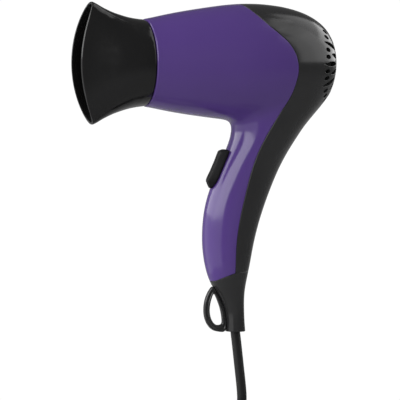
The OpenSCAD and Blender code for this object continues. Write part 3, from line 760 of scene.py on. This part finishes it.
# ------------------------------------------------------------------ nozzle
ST = np.array([[0, 31.4, 31.3, 2], [.1, 31.6, 31.2, 2], [.2, 32.2, 30.6, 2], [.3, 33.1, 29.4, 2.05], [.4, 34.3, 27.6, 2.1], [.5, 35.6, 25.2, 2.2],
               [.6, 37.1, 22.5, 2.3], [.7, 38.8, 19.8, 2.45], [.8, 40.6, 17.2, 2.6], [.9, 42.5, 14.9, 2.8], [1, 44, 13, 3]])
nzH, nzW, nzP = (Spline(ST[:, 0], ST[:, k]) for k in (1, 2, 3))
NZ_A = 144
# angles that spread the columns evenly along the mouth as well as round the collar
fine_a = np.linspace(0, 2 * np.pi, 4097)


def oval(a, h, w, p):
    y = w * np.sign(np.cos(a)) * np.abs(np.cos(a)) ** (2 / p)
    z = h * np.sign(np.sin(a)) * np.abs(np.sin(a)) ** (2 / p)
    return y, z


oy, oz = oval(fine_a, 44, 13, 3)
along = np.concatenate([[0], np.cumsum(np.hypot(np.diff(oy), np.diff(oz)))])
mix = 0.5 * fine_a / (2 * np.pi) + 0.5 * along / along[-1]
nz_a = np.interp((np.arange(NZ_A) + 0.5) / NZ_A, mix, fine_a)


def nozzle_row(s, d):
    h, w, p = float(nzH(min(s, 1))) - d, float(nzW(min(s, 1))) - d, float(nzP(min(s, 1)))
    y, z = oval(nz_a, h, w, p)
    x = -0.5 + s * (-50.7 + z * z / 172 + 0.5)
    return np.stack([x, y, z], 1)


k_ = 1 / 50.0
sec = [(0.0, 1.0), (0.06 * k_, 0.74), (0.2 * k_, 0.54), (0.45 * k_, 0.42), (0.9 * k_, 0.36)]
sec += [(s, 0.36 * max(0.0, 1 - s / 0.2) ** 2) for s in np.linspace(0.03, 1 - 1.1 * k_, 60)]
sec += [(1 - 0.6 * k_, 0.0), (1 - 0.34 * k_, 0.07), (1 - 0.14 * k_, 0.22), (1 - 0.03 * k_, 0.45), (1, 0.75), (1, 1.1), (1 - 0.03 * k_, 1.35), (1 - 0.14 * k_, 1.58), (1 - 0.34 * k_, 1.73), (1 - 0.6 * k_, 1.8)]
sec += [(s, 1.8) for s in np.linspace(1 - 1.4 * k_, 0.02, 40)]
sec += [(0.4 * k_, 1.8), (0.1 * k_, 1.7), (0.0, 1.4)]
nv = np.concatenate([nozzle_row(s, d) for s, d in sec])
M_ = len(sec)
nf = []
for i in range(M_):
    for j in range(NZ_A):
        i2, j2 = (i + 1) % M_, (j + 1) % NZ_A
        nf.append((i * NZ_A + j, i2 * NZ_A + j, i2 * NZ_A + j2, i * NZ_A + j2))
nozzle_mat = plastic("nozzle_black", (0.009, 0.009, 0.0092), 0.12, 0.03, 0.12, 1800.0, 0.08, 0.5)


def turned_out(v, f):
    """Faces wound so that the closed mesh's volume is positive."""
    v = np.asarray(v, float)
    vol = 0.0
    for q in f:
        a = v[q[0]]
        for m in range(1, len(q) - 1):
            vol += np.dot(a, np.cross(v[q[m]], v[q[m + 1]]))
    return f if vol > 0 else [tuple(reversed(q)) for q in f]


nozzle = mesh_object("nozzle_shell", nv, turned_out(nv, nf), nozzle_mat)
finish_piece(nozzle, "nozzle", "nozzle_black", "concentrator_nozzle")

# ------------------------------------------------------------------ hanging loop
LO = np.array([[52.8, -160], [48.9, -164.6], [46.4, -169.7], [45.2, -175], [45, -180], [45.8, -184.8], [47.9, -189.4], [51.2, -192.8], [55, -194.2],
               [60.9, -194.1], [61.2, -187], [60.4, -180], [58.6, -174], [55.6, -168], [52.6, -163.4]], float)
LH = np.array([[52.3, -166.4], [50, -172], [49.1, -178], [49.6, -183], [51.4, -187], [54.2, -189.4], [58.4, -189], [58.8, -185.5], [57.6, -178.5],
               [55.6, -172.5], [53.6, -168]], float)


def closed_curve(p, m):
    n = len(p)
    out = []
    for i in range(n):
        a, b, c, d = p[i - 1], p[i], p[(i + 1) % n], p[(i + 2) % n]
        out += [0.5 * (2 * b + (c - a) * t + (2 * a - 5 * b + 4 * c - d) * t * t + (3 * b - 3 * c + d - a) * t ** 3) for t in np.arange(m) / m]
    return np.array(out)


def by_angle(curve, c, th):
    a = np.unwrap(np.arctan2(curve[:, 1] - c[1], curve[:, 0] - c[0]))
    r = np.hypot(curve[:, 1] - c[1], curve[:, 0] - c[0])
    if a[-1] < a[0]:
        a, r = a[::-1], r[::-1]
    a = np.concatenate([a - 2 * np.pi, a, a + 2 * np.pi])
    return np.interp(th, a, np.tile(r, 3))


LC = np.array([53.8, -179.0])
NL = 160
th_l = np.linspace(0, 2 * np.pi, NL, endpoint=False)
ro_l, ri_l = by_angle(closed_curve(LO, 12), LC, th_l), by_angle(closed_curve(LH, 12), LC, th_l)
kk = np.hanning(9)
kk /= kk.sum()
ro_l = np.convolve(np.concatenate([ro_l[-4:], ro_l, ro_l[:4]]), kk, "valid")
ri_l = np.convolve(np.concatenate([ri_l[-4:], ri_l, ri_l[:4]]), kk, "valid")
half = [(0, 0.0, -1.2), (0, 0.12, -1.65), (0, 0.4, -2.0), (0, 0.8, -2.15), (1, 0.27, -2.2), (1, 0.33, -2.05), (1, 0.38, -1.6), (1, 0.62, -1.6), (1, 0.67, -2.05), (1, 0.73, -2.2),
        (2, 0.8, -2.15), (2, 0.4, -2.0), (2, 0.12, -1.65), (2, 0.0, -1.2)]
section = half + [(k, d, -y) for k, d, y in half[::-1]]
lv = []
for a, ro, ri in zip(th_l, ro_l, ri_l):
    w = ro - ri
    for kind, d, y in section:
        off = d if kind == 0 else (w - d if kind == 2 else w * d)
        if kind == 0:
            off = min(d, 0.26 * w)
        if kind == 2:
            off = w - min(d, 0.26 * w)
        r = ro - off
        lv.append((LC[0] + r * math.cos(a), y, LC[1] + r * math.sin(a)))
lf = []
S_ = len(section)
for i in range(NL):
    for j in range(S_):
        i2, j2 = (i + 1) % NL, (j + 1) % S_
        lf.append((i * S_ + j, i2 * S_ + j, i2 * S_ + j2, i * S_ + j2))
trim_mat = plastic("black_trim", (0.019, 0.019, 0.0195), 0.19, 0.03, 0.1, 2200.0, 0.06, 0.5)
loop = mesh_object("hanging_loop", lv, turned_out(lv, lf), trim_mat)
finish_piece(loop, "root", "black_trim", "hang_loop")

# ------------------------------------------------------------------ switch cap
top_z = np.array([-15, -14.6, -11.5, -10, -4, 3, 12.0, 12.7, 14.7, 15])
top_h = np.array([1.0, 1.5, 4.7, 5.05, 4.5, 4.35, 4.5, 4.2, 1.6, 1.0])
zr = np.unique(np.round(np.concatenate([np.linspace(-15, 15, 91), top_z]), 3))
hz = np.interp(zr, top_z, top_h)
hz = np.convolve(np.pad(hz, 2, mode="edge"), np.array([1, 2, 3, 2, 1]) / 9.0, "valid")


def cap_half(z):
    """Half width of the cap's outline: square upper end, round lower end."""
    if z < -4:
        return 6.4 * math.sqrt(max(0.06, 1 - ((-4 - z) / 11.6) ** 2))
    if z > 13.8:
        return 6.4 - 1.2 * (1 - math.sqrt(max(0.0, 1 - ((z - 13.8) / 1.25) ** 2)))
    return 6.4


cv, cf = [], []
# (share of the way up the side, drop below the top); the side draws in from the base to a ridge, then an almost flat top
side_pts = [(0.0, None), (0.0, 0.02), (0.02, 0.09), (0.25, 0.32), (0.55, 0.62), (0.86, 0.93), (0.95, 0.985), (1.0, 1.0)]
for zi, h in zip(zr, hz):
    bh = cap_half(zi)
    wt = max(0.5, bh - 2.7 * min(1.0, h / 4.4) * (0.55 + 0.45 * bh / 6.4))
    ring = []
    base = 20.55 - math.sqrt(21.0 ** 2 - bh * bh)
    foot = base - 0.25
    top = -max(h, -foot + 0.3)
    for t, lift in side_pts[1:]:
        ring.append((foot + (top - foot) * lift, -(bh + (wt - bh) * t)))
    flat = [(top - 0.10 * (1 - (y / wt) ** 2), y) for y in (-0.8 * wt, -0.4 * wt, 0.0, 0.4 * wt, 0.8 * wt)]
    row = [(base, -bh)] + ring + flat + [(x, -y) for x, y in ring[::-1]] + [(base, bh)]
    row += [(20.55 - math.sqrt(21.0 ** 2 - (y * bh / 8) ** 2), y * bh / 8) for y in (6, 3, 0, -3, -6)]
    cv += [(x, y, zi) for x, y in row]
R_ = len(row)
for i in range(len(zr) - 1):
    for j in range(R_):
        cf.append((i * R_ + j, (i + 1) * R_ + j, (i + 1) * R_ + (j + 1) % R_, i * R_ + (j + 1) % R_))
cf += [tuple(range(R_)), tuple(reversed(range((len(zr) - 1) * R_, len(zr) * R_)))]
cv = from_switch(np.array(cv))
sw_mat = plastic("switch_black", (0.0045, 0.0045, 0.005), 0.5, 0.05, 0.12, 2200.0, 0.06, 0.18)
slider = mesh_object("switch_cap", cv, turned_out(cv, cf), sw_mat)
bend = [math.radians(a) for a in range(0, 91, 10)]
outline = [(-4, 3)] + [(-0.4 - 3.6 * math.cos(a), -2.0 - 3.6 * math.sin(a)) for a in bend]
outline += [(0.4 + 3.6 * math.sin(a), -2.0 - 3.6 * math.cos(a)) for a in bend] + [(4, 3)]
n_ = len(outline)
sv = from_switch(np.array([(x, y, z) for x in (-1.0, 4.6) for y, z in outline], float))
sf = [tuple(range(n_)), tuple(reversed(range(n_, 2 * n_)))]
sf = turned_out(sv, sf + [(i, n_ + i, n_ + (i + 1) % n_, (i + 1) % n_) for i in range(n_)])
stem_ob = mesh_object("switch_stem", sv, sf, sw_mat, smooth=False)
bv = stem_ob.modifiers.new("edge", "BEVEL")
bv.width = 0.0004
bv.segments = 2
finish_piece(slider, "switch", "switch_black", "switch_slider")
finish_piece(stem_ob, "switch", "switch_black", "switch_slider")


# ------------------------------------------------------------------ turned parts along a line
def lathe(name, start, axis, prof, n, mat, dent=None):
    """prof holds (distance along axis, radius); the first and last close onto the axis."""
    axis = np.asarray(axis, float) / np.linalg.norm(axis)
    u = np.cross(axis, [0, 1, 0] if abs(axis[1]) < 0.9 else [1, 0, 0])
    u /= np.linalg.norm(u)
    w = np.cross(axis, u)
    v, f = [], []
    for k, (h, r) in enumerate(prof):
        for j in range(n):
            a = 2 * math.pi * j / n
            rr = r + (dent(h, a) if dent else 0)
            v.append(start + axis * h + rr * (math.cos(a) * u + math.sin(a) * w))
    for i in range(len(prof) - 1):
        for j in range(n):
            f.append((i * n + j, (i + 1) * n + j, (i + 1) * n + (j + 1) % n, i * n + (j + 1) % n))
    f += [tuple(range(n)), tuple(reversed(range((len(prof) - 1) * n, len(prof) * n)))]
    return mesh_object(name, v, turned_out(v, f), mat)


slv = [(0.2, 0.8), (0, 3.9), (0.25, 4.2), (21.5, 4.2), (24, 4.1), (30, 3.72), (34, 3.56), (46, 3.52), (46.4, 3.5), (47.6, 3.5), (48.2, 3.46), (48.6, 3.3), (48.6, 1.0)]
sleeve = lathe("cord_sleeve_tube", np.array([68.9, 0, -194.4]), (-math.sin(math.radians(5.71)), 0, math.cos(math.radians(5.71))), slv, 40, cord_mat)
finish_piece(sleeve, "root", "cord_black", "cord_sleeve")

# ------------------------------------------------------------------ plug
PY, PZ = -20.0, -275.3
plug_mat = plastic("plug_black", (0.0165, 0.0165, 0.0165), 0.4, 0.06, 0.12, 1500.0, 0.1, 0.45)


def plug_ring(x, w, h, flat=0.0, n=72):
    """Oval with straight long sides; flat presses a finger hollow into the upper and lower side."""
    out = []
    for j in range(n):
        a = 2 * math.pi * (j + 0.5) / n
        c, s = math.cos(a), math.sin(a)
        r = h / 2
        y = (w - h) / 2 * (1 if c > 0 else -1) * min(1.0, abs(c) * 3) + r * c
        z = r * s
        z *= 1 - flat * math.exp(-(y / (w * 0.33)) ** 2)
        out.append((x, PY + y, PZ + z))
    return out


prof_p = [(110.6, 9, 9, 0), (111, 14.2, 12.4, 0), (111.6, 15.4, 13.2, 0), (114, 19.6, 15.8, 0.02), (117.5, 26, 19.4, 0.05), (120.5, 31, 22.8, 0.07), (123, 33.9, 25, 0.08), (125.2, 34.2, 25.2, 0.09)]
for k in range(5):                          # finger ribs
    x0 = 126.0 + 2.6 * k
    prof_p += [(x0, 34.4, 25.3, 0.10), (x0 + 0.35, 33.7, 24.5, 0.11), (x0 + 1.2, 33.7, 24.5, 0.11), (x0 + 1.55, 34.5, 25.3, 0.10)]
prof_p += [(139.6, 35, 25.4, 0.06), (142.5, 35.8, 25.6, 0.02), (144.9, 36, 25.6, 0), (145.5, 35.8, 25.4, 0), (145.86, 35.3, 24.9, 0), (146, 34.6, 24.2, 0), (146, 20, 10, 0)]
pv = [q for r in prof_p for q in plug_ring(*r)]
n_ = 72
pf = []
for i in range(len(prof_p) - 1):
    for j in range(n_):
        pf.append((i * n_ + j, (i + 1) * n_ + j, (i + 1) * n_ + (j + 1) % n_, i * n_ + (j + 1) % n_))
pf += [tuple(range(n_)), tuple(reversed(range((len(prof_p) - 1) * n_, len(prof_p) * n_)))]
plug = mesh_object("plug_moulding", pv, turned_out(pv, pf), plug_mat)
finish_piece(plug, "root", "plug_black", "plug_body")
# strain relief with stepped rings
rel = [(0, 1.0), (0, 3.9), (0.3, 4.0)]
for k in range(6):
    x0, r0 = 1.0 + 3.1 * k, 4.05 + 0.31 * k
    rel += [(x0, r0), (x0 + 0.15, r0 + 0.16), (x0 + 1.75, r0 + 0.3), (x0 + 1.95, r0 + 0.18), (x0 + 2.15, r0 - 0.75), (x0 + 2.85, r0 - 0.7)]
rel += [(19.7, 5.75), (20.0, 5.9), (21.0, 6.0), (21.0, 1.0)]
relief = lathe("plug_relief", np.array([91.0, PY, PZ]), (1, 0, 0), rel, 36, plug_mat)
finish_piece(relief, "root", "plug_black", "plug_body")
pin_mat = brushed("pin_nickel", (0.62, 0.6, 0.56), 0.22, (40, 4, 4), 300.0, 0.05)
for s, nm in ((-1, "left"), (1, "right")):
    pr = [(-0.2, 0.6), (-0.2, 2.4), (8.2, 2.4), (8.35, 2.28), (8.7, 2.28), (8.85, 2.4), (16.9, 2.4), (17.9, 2.22), (18.6, 1.75), (18.93, 1.1), (19, 0.4)]
    pin = lathe("plug_pin_" + nm, np.array([146.0, PY + s * 9.5, PZ]), (1, 0, 0), pr, 28, pin_mat)
    finish_piece(pin, "root", "pin_nickel", "plug_pins")

# ------------------------------------------------------------------ tie round the coil
tie_mat = weave("tie_fabric", (0.018, 0.018, 0.02))
x0, x1, z0, z1 = 42.5 - 49 - 1, 42.5 - 49 - 1 + 25.7, FLOOR, FLOOR + 22.6
loop_pts = []
rad = 4.2
for cx, cz, a0 in ((x1 - rad, z0 + rad, -90), (x1 - rad, z1 - rad, 0), (x0 + rad, z1 - rad, 90), (x0 + rad, z0 + rad, 180)):
    for k in range(9):
        a = math.radians(a0 + 90 * k / 8)
        loop_pts.append((cx + rad * math.cos(a), cz + rad * math.sin(a), math.cos(a), math.sin(a)))
dense = []
for i in range(len(loop_pts)):
    p, q = np.array(loop_pts[i]), np.array(loop_pts[(i + 1) % len(loop_pts)])
    m = max(1, int(np.hypot(*(q - p)[:2]) / 1.2))
    dense += [p + (q - p) * t / m for t in range(m)]
tv, tf = [], []
ys = np.linspace(-8, 8, 17)
for i, (x, z, nx, nz) in enumerate(dense):
    l = math.hypot(nx, nz)
    nx, nz = nx / l, nz / l
    wob = 0.10 * math.sin(i * 0.55) + 0.06 * math.sin(i * 1.7 + 1)
    for side in (0, 1):
        for y in (ys if side == 0 else ys[::-1]):
            e = 0.28 if abs(y) > 7.6 else 0.0
            d = (-0.05 - e + min(0, wob)) if side == 0 else (-0.85 + e)
            tv.append((x + nx * d, 30 + y, z + nz * d))
T_ = 2 * len(ys)
for i in range(len(dense)):
    for j in range(T_):
        i2, j2 = (i + 1) % len(dense), (j + 1) % T_
        tf.append((i * T_ + j, i2 * T_ + j, i2 * T_ + j2, i * T_ + j2))
tie = mesh_object("coil_tie_strap", tv, turned_out(tv, tf), tie_mat)
finish_piece(tie, "root", "tie_fabric", "cord_tie")

# ------------------------------------------------------------------ finishes of the CAD pieces that show as they are
def mica_mat():
    m, nt, b = new_mat("mica_sheet")
    n1 = noise(nt, 60, 6.0, 0.7)
    r = ramp(nt, n1.outputs["Fac"], [(0.3, (0.20, 0.155, 0.10)), (0.5, (0.36, 0.29, 0.2)), (0.62, (0.5, 0.43, 0.31)), (0.75, (0.30, 0.24, 0.16))])
    nt.links.new(r.outputs[0], b.inputs["Base Color"])
    v = nt.nodes.new("ShaderNodeTexVoronoi")
    v.inputs["Scale"].default_value = 420
    s = span(nt, v.outputs["Distance"], 0.25, 0.6, 0.0, 0.6)
    nt.links.new(s.outputs[0], b.inputs["Roughness"])
    add_bump(nt, b, v.outputs["Distance"], 0.25, 0.0001)
    return m


def winding_mat():
    m, nt, b = new_mat("copper_wire")
    tc = nt.nodes.new("ShaderNodeTexCoord")
    w = nt.nodes.new("ShaderNodeTexWave")
    w.bands_direction = "X"
    w.inputs["Scale"].default_value = 900
    w.inputs["Distortion"].default_value = 1.5
    nt.links.new(tc.outputs["Object"], w.inputs["Vector"])
    r = ramp(nt, w.outputs["Fac"], [(0.1, (0.16, 0.045, 0.02)), (0.6, (0.62, 0.23, 0.1)), (0.9, (0.8, 0.36, 0.18))])
    nt.links.new(r.outputs[0], b.inputs["Base Color"])
    s = span(nt, w.outputs["Fac"], 0.5, 0.25, 0, 1)
    nt.links.new(s.outputs[0], b.inputs["Roughness"])
    add_bump(nt, b, w.outputs["Fac"], 0.6, 0.0003)
    b.inputs["Metallic"].default_value = 0.85
    return m


SLOT_MAT = {
    "heat_plastic": plastic("heat_plastic", (0.016, 0.016, 0.017), 0.42, 0.06, 0.15, 1500.0, 0.1, 0.45),
    "spring_steel": brushed("spring_steel", (0.46, 0.46, 0.47), 0.28, (4, 60, 60), 90.0, 0.08),
    "mica": mica_mat(),
    "heater_wire": brushed("heater_wire", (0.30, 0.27, 0.25), 0.42, (8, 40, 40), 200.0, 0.1),
    "ceramic_white": plastic("ceramic_white", (0.7, 0.68, 0.62), 0.5, 0.08, 0.05, 500.0, 0.15, 0.4),
    "motor_steel": brushed("motor_steel", (0.42, 0.42, 0.43), 0.34, (2, 50, 50), 90.0, 0.1),
    "switch_plastic": plastic("switch_plastic", (0.5, 0.48, 0.42), 0.42, 0.06, 0.06, 1200.0, 0.08),
    "magnet": plastic("magnet", (0.04, 0.04, 0.045), 0.6, 0.1, 0.2, 500.0, 0.25, 0.5),
    "brass_contact": brushed("brass_contact", (0.62, 0.44, 0.18), 0.32, (30, 4, 4), 120.0, 0.08),
    "carbon": plastic("carbon", (0.02, 0.02, 0.022), 0.55, 0.1, 0.25, 900.0, 0.3, 0.5),
    "copper_wire": winding_mat(),
    "fan_plastic": plastic("fan_plastic", (0.30, 0.30, 0.29), 0.4, 0.06, 0.06, 1400.0, 0.08),
    "board_green": plastic("board_green", (0.03, 0.11, 0.045), 0.35, 0.06, 0.2, 700.0, 0.15),
    "capacitor_yellow": plastic("capacitor_yellow", (0.55, 0.33, 0.04), 0.35, 0.05, 0.08, 900.0, 0.08),
    "lead_brown": plastic("lead_brown", (0.10, 0.038, 0.015), 0.4, 0.05, 0.1, 1200.0, 0.08),
    "lead_blue": plastic("lead_blue", (0.02, 0.07, 0.28), 0.4, 0.05, 0.1, 1200.0, 0.08),
    "lead_red": plastic("lead_red", (0.30, 0.015, 0.012), 0.4, 0.05, 0.1, 1200.0, 0.08),
    "black_trim": trim_mat, "black_shell": shell_mat, "purple_shell": purple_mat, "nozzle_black": nozzle_mat,
    "switch_black": sw_mat, "cord_black": cord_mat, "tie_fabric": tie_mat, "plug_black": plug_mat, "pin_nickel": pin_mat,
}
for name, ob in NODES.items():
    ob.data.materials.clear()
    ob.data.materials.append(SLOT_MAT[SLOT_OF[name]])

# ------------------------------------------------------------------ screw wells of the rear shell
for zc, head in ((-50, 104.0), (-128, 74.0)):
    rows = []
    n = 48
    ang_ = 2 * np.pi * np.arange(n) / n
    y, z = 3.2 * np.cos(ang_), zc + 3.2 * np.sin(ang_)
    # where the well meets the inside of the wall
    xo = np.full(n, 140.0 if zc > -100 else 100.0)
    lo_ = np.full(n, head)
    for _ in range(30):
        mid = (xo + lo_) / 2
        inside = f_body(np.stack([mid, y, z], 1)) < -0.9
        lo_ = np.where(inside, mid, lo_)
        xo = np.where(inside, xo, mid)
    for r, xx in ((3.2, lo_), (3.2, np.full(n, head)), (1.9, np.full(n, head)), (1.9, np.full(n, head - 1.2)), (4.2, np.full(n, head - 1.2)), (4.2, lo_ - 0.8)):
        yy, zz_ = r * np.cos(ang_), zc + r * np.sin(ang_)
        rows.append(np.stack([xx, yy, zz_], 1))
    v = np.concatenate(rows)
    m = len(rows)
    f = []
    for i in range(m):
        for j in range(n):
            f.append((i * n + j, ((i + 1) % m) * n + j, ((i + 1) % m) * n + (j + 1) % n, i * n + (j + 1) % n))
    w = mesh_object("screw_well_" + ("upper" if zc > -100 else "lower"), v, turned_out(v, f), shell_mat)
    finish_piece(w, "root", "black_shell", "rear_shell")

# thin dark foam filter sheet just inside the air slots, which also serves as painted shade: it makes the openings look
# dark from every side
nr_, na_ = 28, 132
rr = np.concatenate([[0.4], np.linspace(1.4, 33.4, nr_ - 1)])
R_, A_ = np.meshgrid(rr, 2 * np.pi * np.arange(na_) / na_, indexing="ij")
y, z = (R_ * np.cos(A_)).ravel(), (R_ * np.sin(A_) - 1.2).ravel()
lo_, hi_ = np.full(len(y), 118.0), np.full(len(y), 150.0)
for _ in range(15):
    mid = (lo_ + hi_) / 2
    inside = f_body(np.stack([mid, y, z], 1)) < -2.9
    lo_ = np.where(inside, mid, lo_)
    hi_ = np.where(inside, hi_, mid)
ii, jj = np.meshgrid(np.arange(nr_), np.arange(na_), indexing="ij")
dimple = 0.3 * ((ii + jj) % 2).ravel()
v = np.concatenate([np.stack([lo_ - dimple, y, z], 1), np.stack([lo_ - 0.9, y, z], 1)])
m = nr_ * na_
f = []
for i in range(nr_ - 1):
    for j in range(na_):
        a, b, c, d = i * na_ + j, i * na_ + (j + 1) % na_, (i + 1) * na_ + (j + 1) % na_, (i + 1) * na_ + j
        f += [(a, b, c, d), (m + d, m + c, m + b, m + a)]
for i in (0, nr_ - 1):
    for j in range(na_):
        a, b = i * na_ + j, i * na_ + (j + 1) % na_
        f.append((a, b, m + b, m + a) if i else (b, a, m + a, m + b))
# near-black colour: the filter's own, and also painted shade for the hollows behind the slots
filter_shade_mat = plastic("filter_and_shade_foam", (0.012, 0.012, 0.012), 0.9, 0.04, 0.3, 900.0, 0.6, 0.1)
liner = mesh_object("filter_and_shade_liner", v, turned_out(v, f), filter_shade_mat)
finish_piece(liner, "root", "black_shell")

# ------------------------------------------------------------------ floor, light
floor_mat = plastic("floor_paper", (0.80, 0.80, 0.81), 0.8, 0.05, 0.01, 60.0, 0.05, 0.2)
nf_ = 128
fa = 2 * np.pi * np.arange(nf_) / nf_
fv, ff = [], []
for r, z in ((396, -0.05), (399, -0.6), (400, -2), (400, -6)):
    fv += [(60 + r * math.cos(a), r * math.sin(a), FLOOR + z) for a in fa]
for i in range(3):
    ff += [(i * nf_ + j, (i + 1) * nf_ + j, (i + 1) * nf_ + (j + 1) % nf_, i * nf_ + (j + 1) % nf_) for j in range(nf_)]
ff += [tuple(range(nf_)), tuple(reversed(range(3 * nf_, 4 * nf_)))]
fl = mesh_object("floor", fv, turned_out(fv, ff), floor_mat, smooth=False)
fl.visible_glossy = False

world = bpy.data.worlds.new("studio")
scene.world = world
world.use_nodes = True
wn = world.node_tree
wn.nodes.clear()


def wmap(src, a, b, lo, hi):
    m = wn.nodes.new("ShaderNodeMapRange")
    m.interpolation_type = "SMOOTHSTEP"
    for k, val in (("From Min", a), ("From Max", b), ("To Min", lo), ("To Max", hi)):
        m.inputs[k].default_value = val
    wn.links.new(src, m.inputs["Value"])
    return m.outputs[0]


def wmath(op, a, b):
    m = wn.nodes.new("ShaderNodeMath")
    m.operation = op
    for i, q in enumerate((a, b)):
        if isinstance(q, (int, float)):
            m.inputs[i].default_value = q
        else:
            wn.links.new(q, m.inputs[i])
    return m.outputs[0]


wout = wn.nodes.new("ShaderNodeOutputWorld")
mixer = wn.nodes.new("ShaderNodeMixShader")
lp = wn.nodes.new("ShaderNodeLightPath")
wtc = wn.nodes.new("ShaderNodeTexCoord")
wsep = wn.nodes.new("ShaderNodeSeparateXYZ")
wn.links.new(wtc.outputs["Generated"], wsep.inputs[0])
back_part = wmap(wsep.outputs[1], 0.1, 0.8, 0.0, 1.0)        # the lit wall behind the object
low_part = wmap(wsep.outputs[2], 0.1, 0.45, 1.0, 0.0)
wall = wmath("MULTIPLY", wmath("MULTIPLY", back_part, low_part), 0.16)
below = wmap(wsep.outputs[2], -0.5, -0.05, 0.15, 0.0)
env = wmath("ADD", wmath("ADD", wall, below), 0.10)
bg_a = wn.nodes.new("ShaderNodeBackground")
bg_b = wn.nodes.new("ShaderNodeBackground")
bg_a.inputs[0].default_value = (1.0, 1.0, 1.0, 1)
wn.links.new(env, bg_a.inputs[1])
bg_b.inputs[0].default_value = (1, 1, 1, 1)
bg_b.inputs[1].default_value = 1.02
wn.links.new(lp.outputs["Is Camera Ray"], mixer.inputs[0])
wn.links.new(bg_a.outputs[0], mixer.inputs[1])
wn.links.new(bg_b.outputs[0], mixer.inputs[2])
wn.links.new(mixer.outputs[0], wout.inputs[0])


def softbox(name, at, to, w, h, radiance, glossy=True, color=(1, 1, 1)):
    """Positions in design millimetres, size in metres."""
    d = bpy.data.lights.new(name, "AREA")
    d.shape = "RECTANGLE"
    d.size, d.size_y = w, h
    d.energy = radiance * math.pi * w * h
    d.color = color
    o = bpy.data.objects.new(name, d)
    a, b = Vector(place(at)), Vector(place(to))
    o.location = a
    o.rotation_euler = (a - b).to_track_quat("Z", "Y").to_euler()
    o.visible_glossy = glossy
    scene.collection.objects.link(o)
    return o



def panel(name, az0, az1, el0, el1, dist, radiance, about=(60, 0, -60), glossy=True):
    """Flat softbox that fills these directions as seen from a point of the object. Azimuth 0 is in front, 90 to the right."""
    azm = math.radians((az0 + az1) / 2)
    wide = 2 * dist * math.tan(math.radians((az1 - az0) / 2))
    lo_, hi_ = dist * math.tan(math.radians(el0)), dist * math.tan(math.radians(el1))
    c = (about[0] + 1000 * dist * math.sin(azm), about[1] - 1000 * dist * math.cos(azm), about[2] + 500 * (lo_ + hi_))
    return softbox(name, c, (about[0], about[1], c[2]), wide, hi_ - lo_, radiance, glossy)


softbox("overhead", (60, -500, 1300), (60, 0, -50), 1.6, 1.2, 0.22, glossy=False)
panel("left_key_a", -87, -42, 16, 48, 1.5, 3.7, about=(75, -10, -90))
panel("left_key_low", -87, -45, 6, 16, 1.5, 3.7, about=(75, -10, -90))
panel("left_key_b", -142, -87, 6, 48, 1.5, 3.1, about=(75, -10, -90))
panel("left_low_a", -87, -45, -25, 6, 1.55, 0.7, about=(75, -10, -90))
panel("left_low_b", -142, -87, -25, 6, 1.55, 0.7, about=(75, -10, -90))
panel("right_a", 42, 60, 0, 46, 1.5, 1.25, about=(110, -30, -1))
panel("right_a_upper", 51, 60, 46, 60, 1.5, 1.25, about=(110, -30, -1))
panel("right_b", 60, 90, 0, 46, 1.5, 1.5, about=(110, -30, -1))
panel("right_b_mid", 60, 90, 46, 53, 1.5, 1.2, about=(110, -30, -1))
panel("right_b_upper", 60, 90, 53, 59, 1.5, 1.0, about=(110, -30, -1))
panel("right_top", 60, 112, 59, 68, 1.5, 0.95, about=(110, -30, -1))
panel("right_c", 90, 134, 0, 34, 1.5, 2.5, about=(110, -30, -1))
panel("right_d", 90, 134, 34, 47, 1.5, 1.0, about=(110, -30, -1))
panel("right_d_mid", 90, 134, 47, 53, 1.5, 0.9, about=(110, -30, -1))
panel("right_d_upper", 90, 134, 53, 59, 1.5, 0.8, about=(110, -30, -1))
softbox("fill", (-100, -1800, 900), (60, 0, -60), 1.0, 1.0, 1.2, glossy=False)
softbox("fill_low", (-100, -2000, 40), (60, 0, -60), 1.0, 1.0, 1.9, glossy=False)
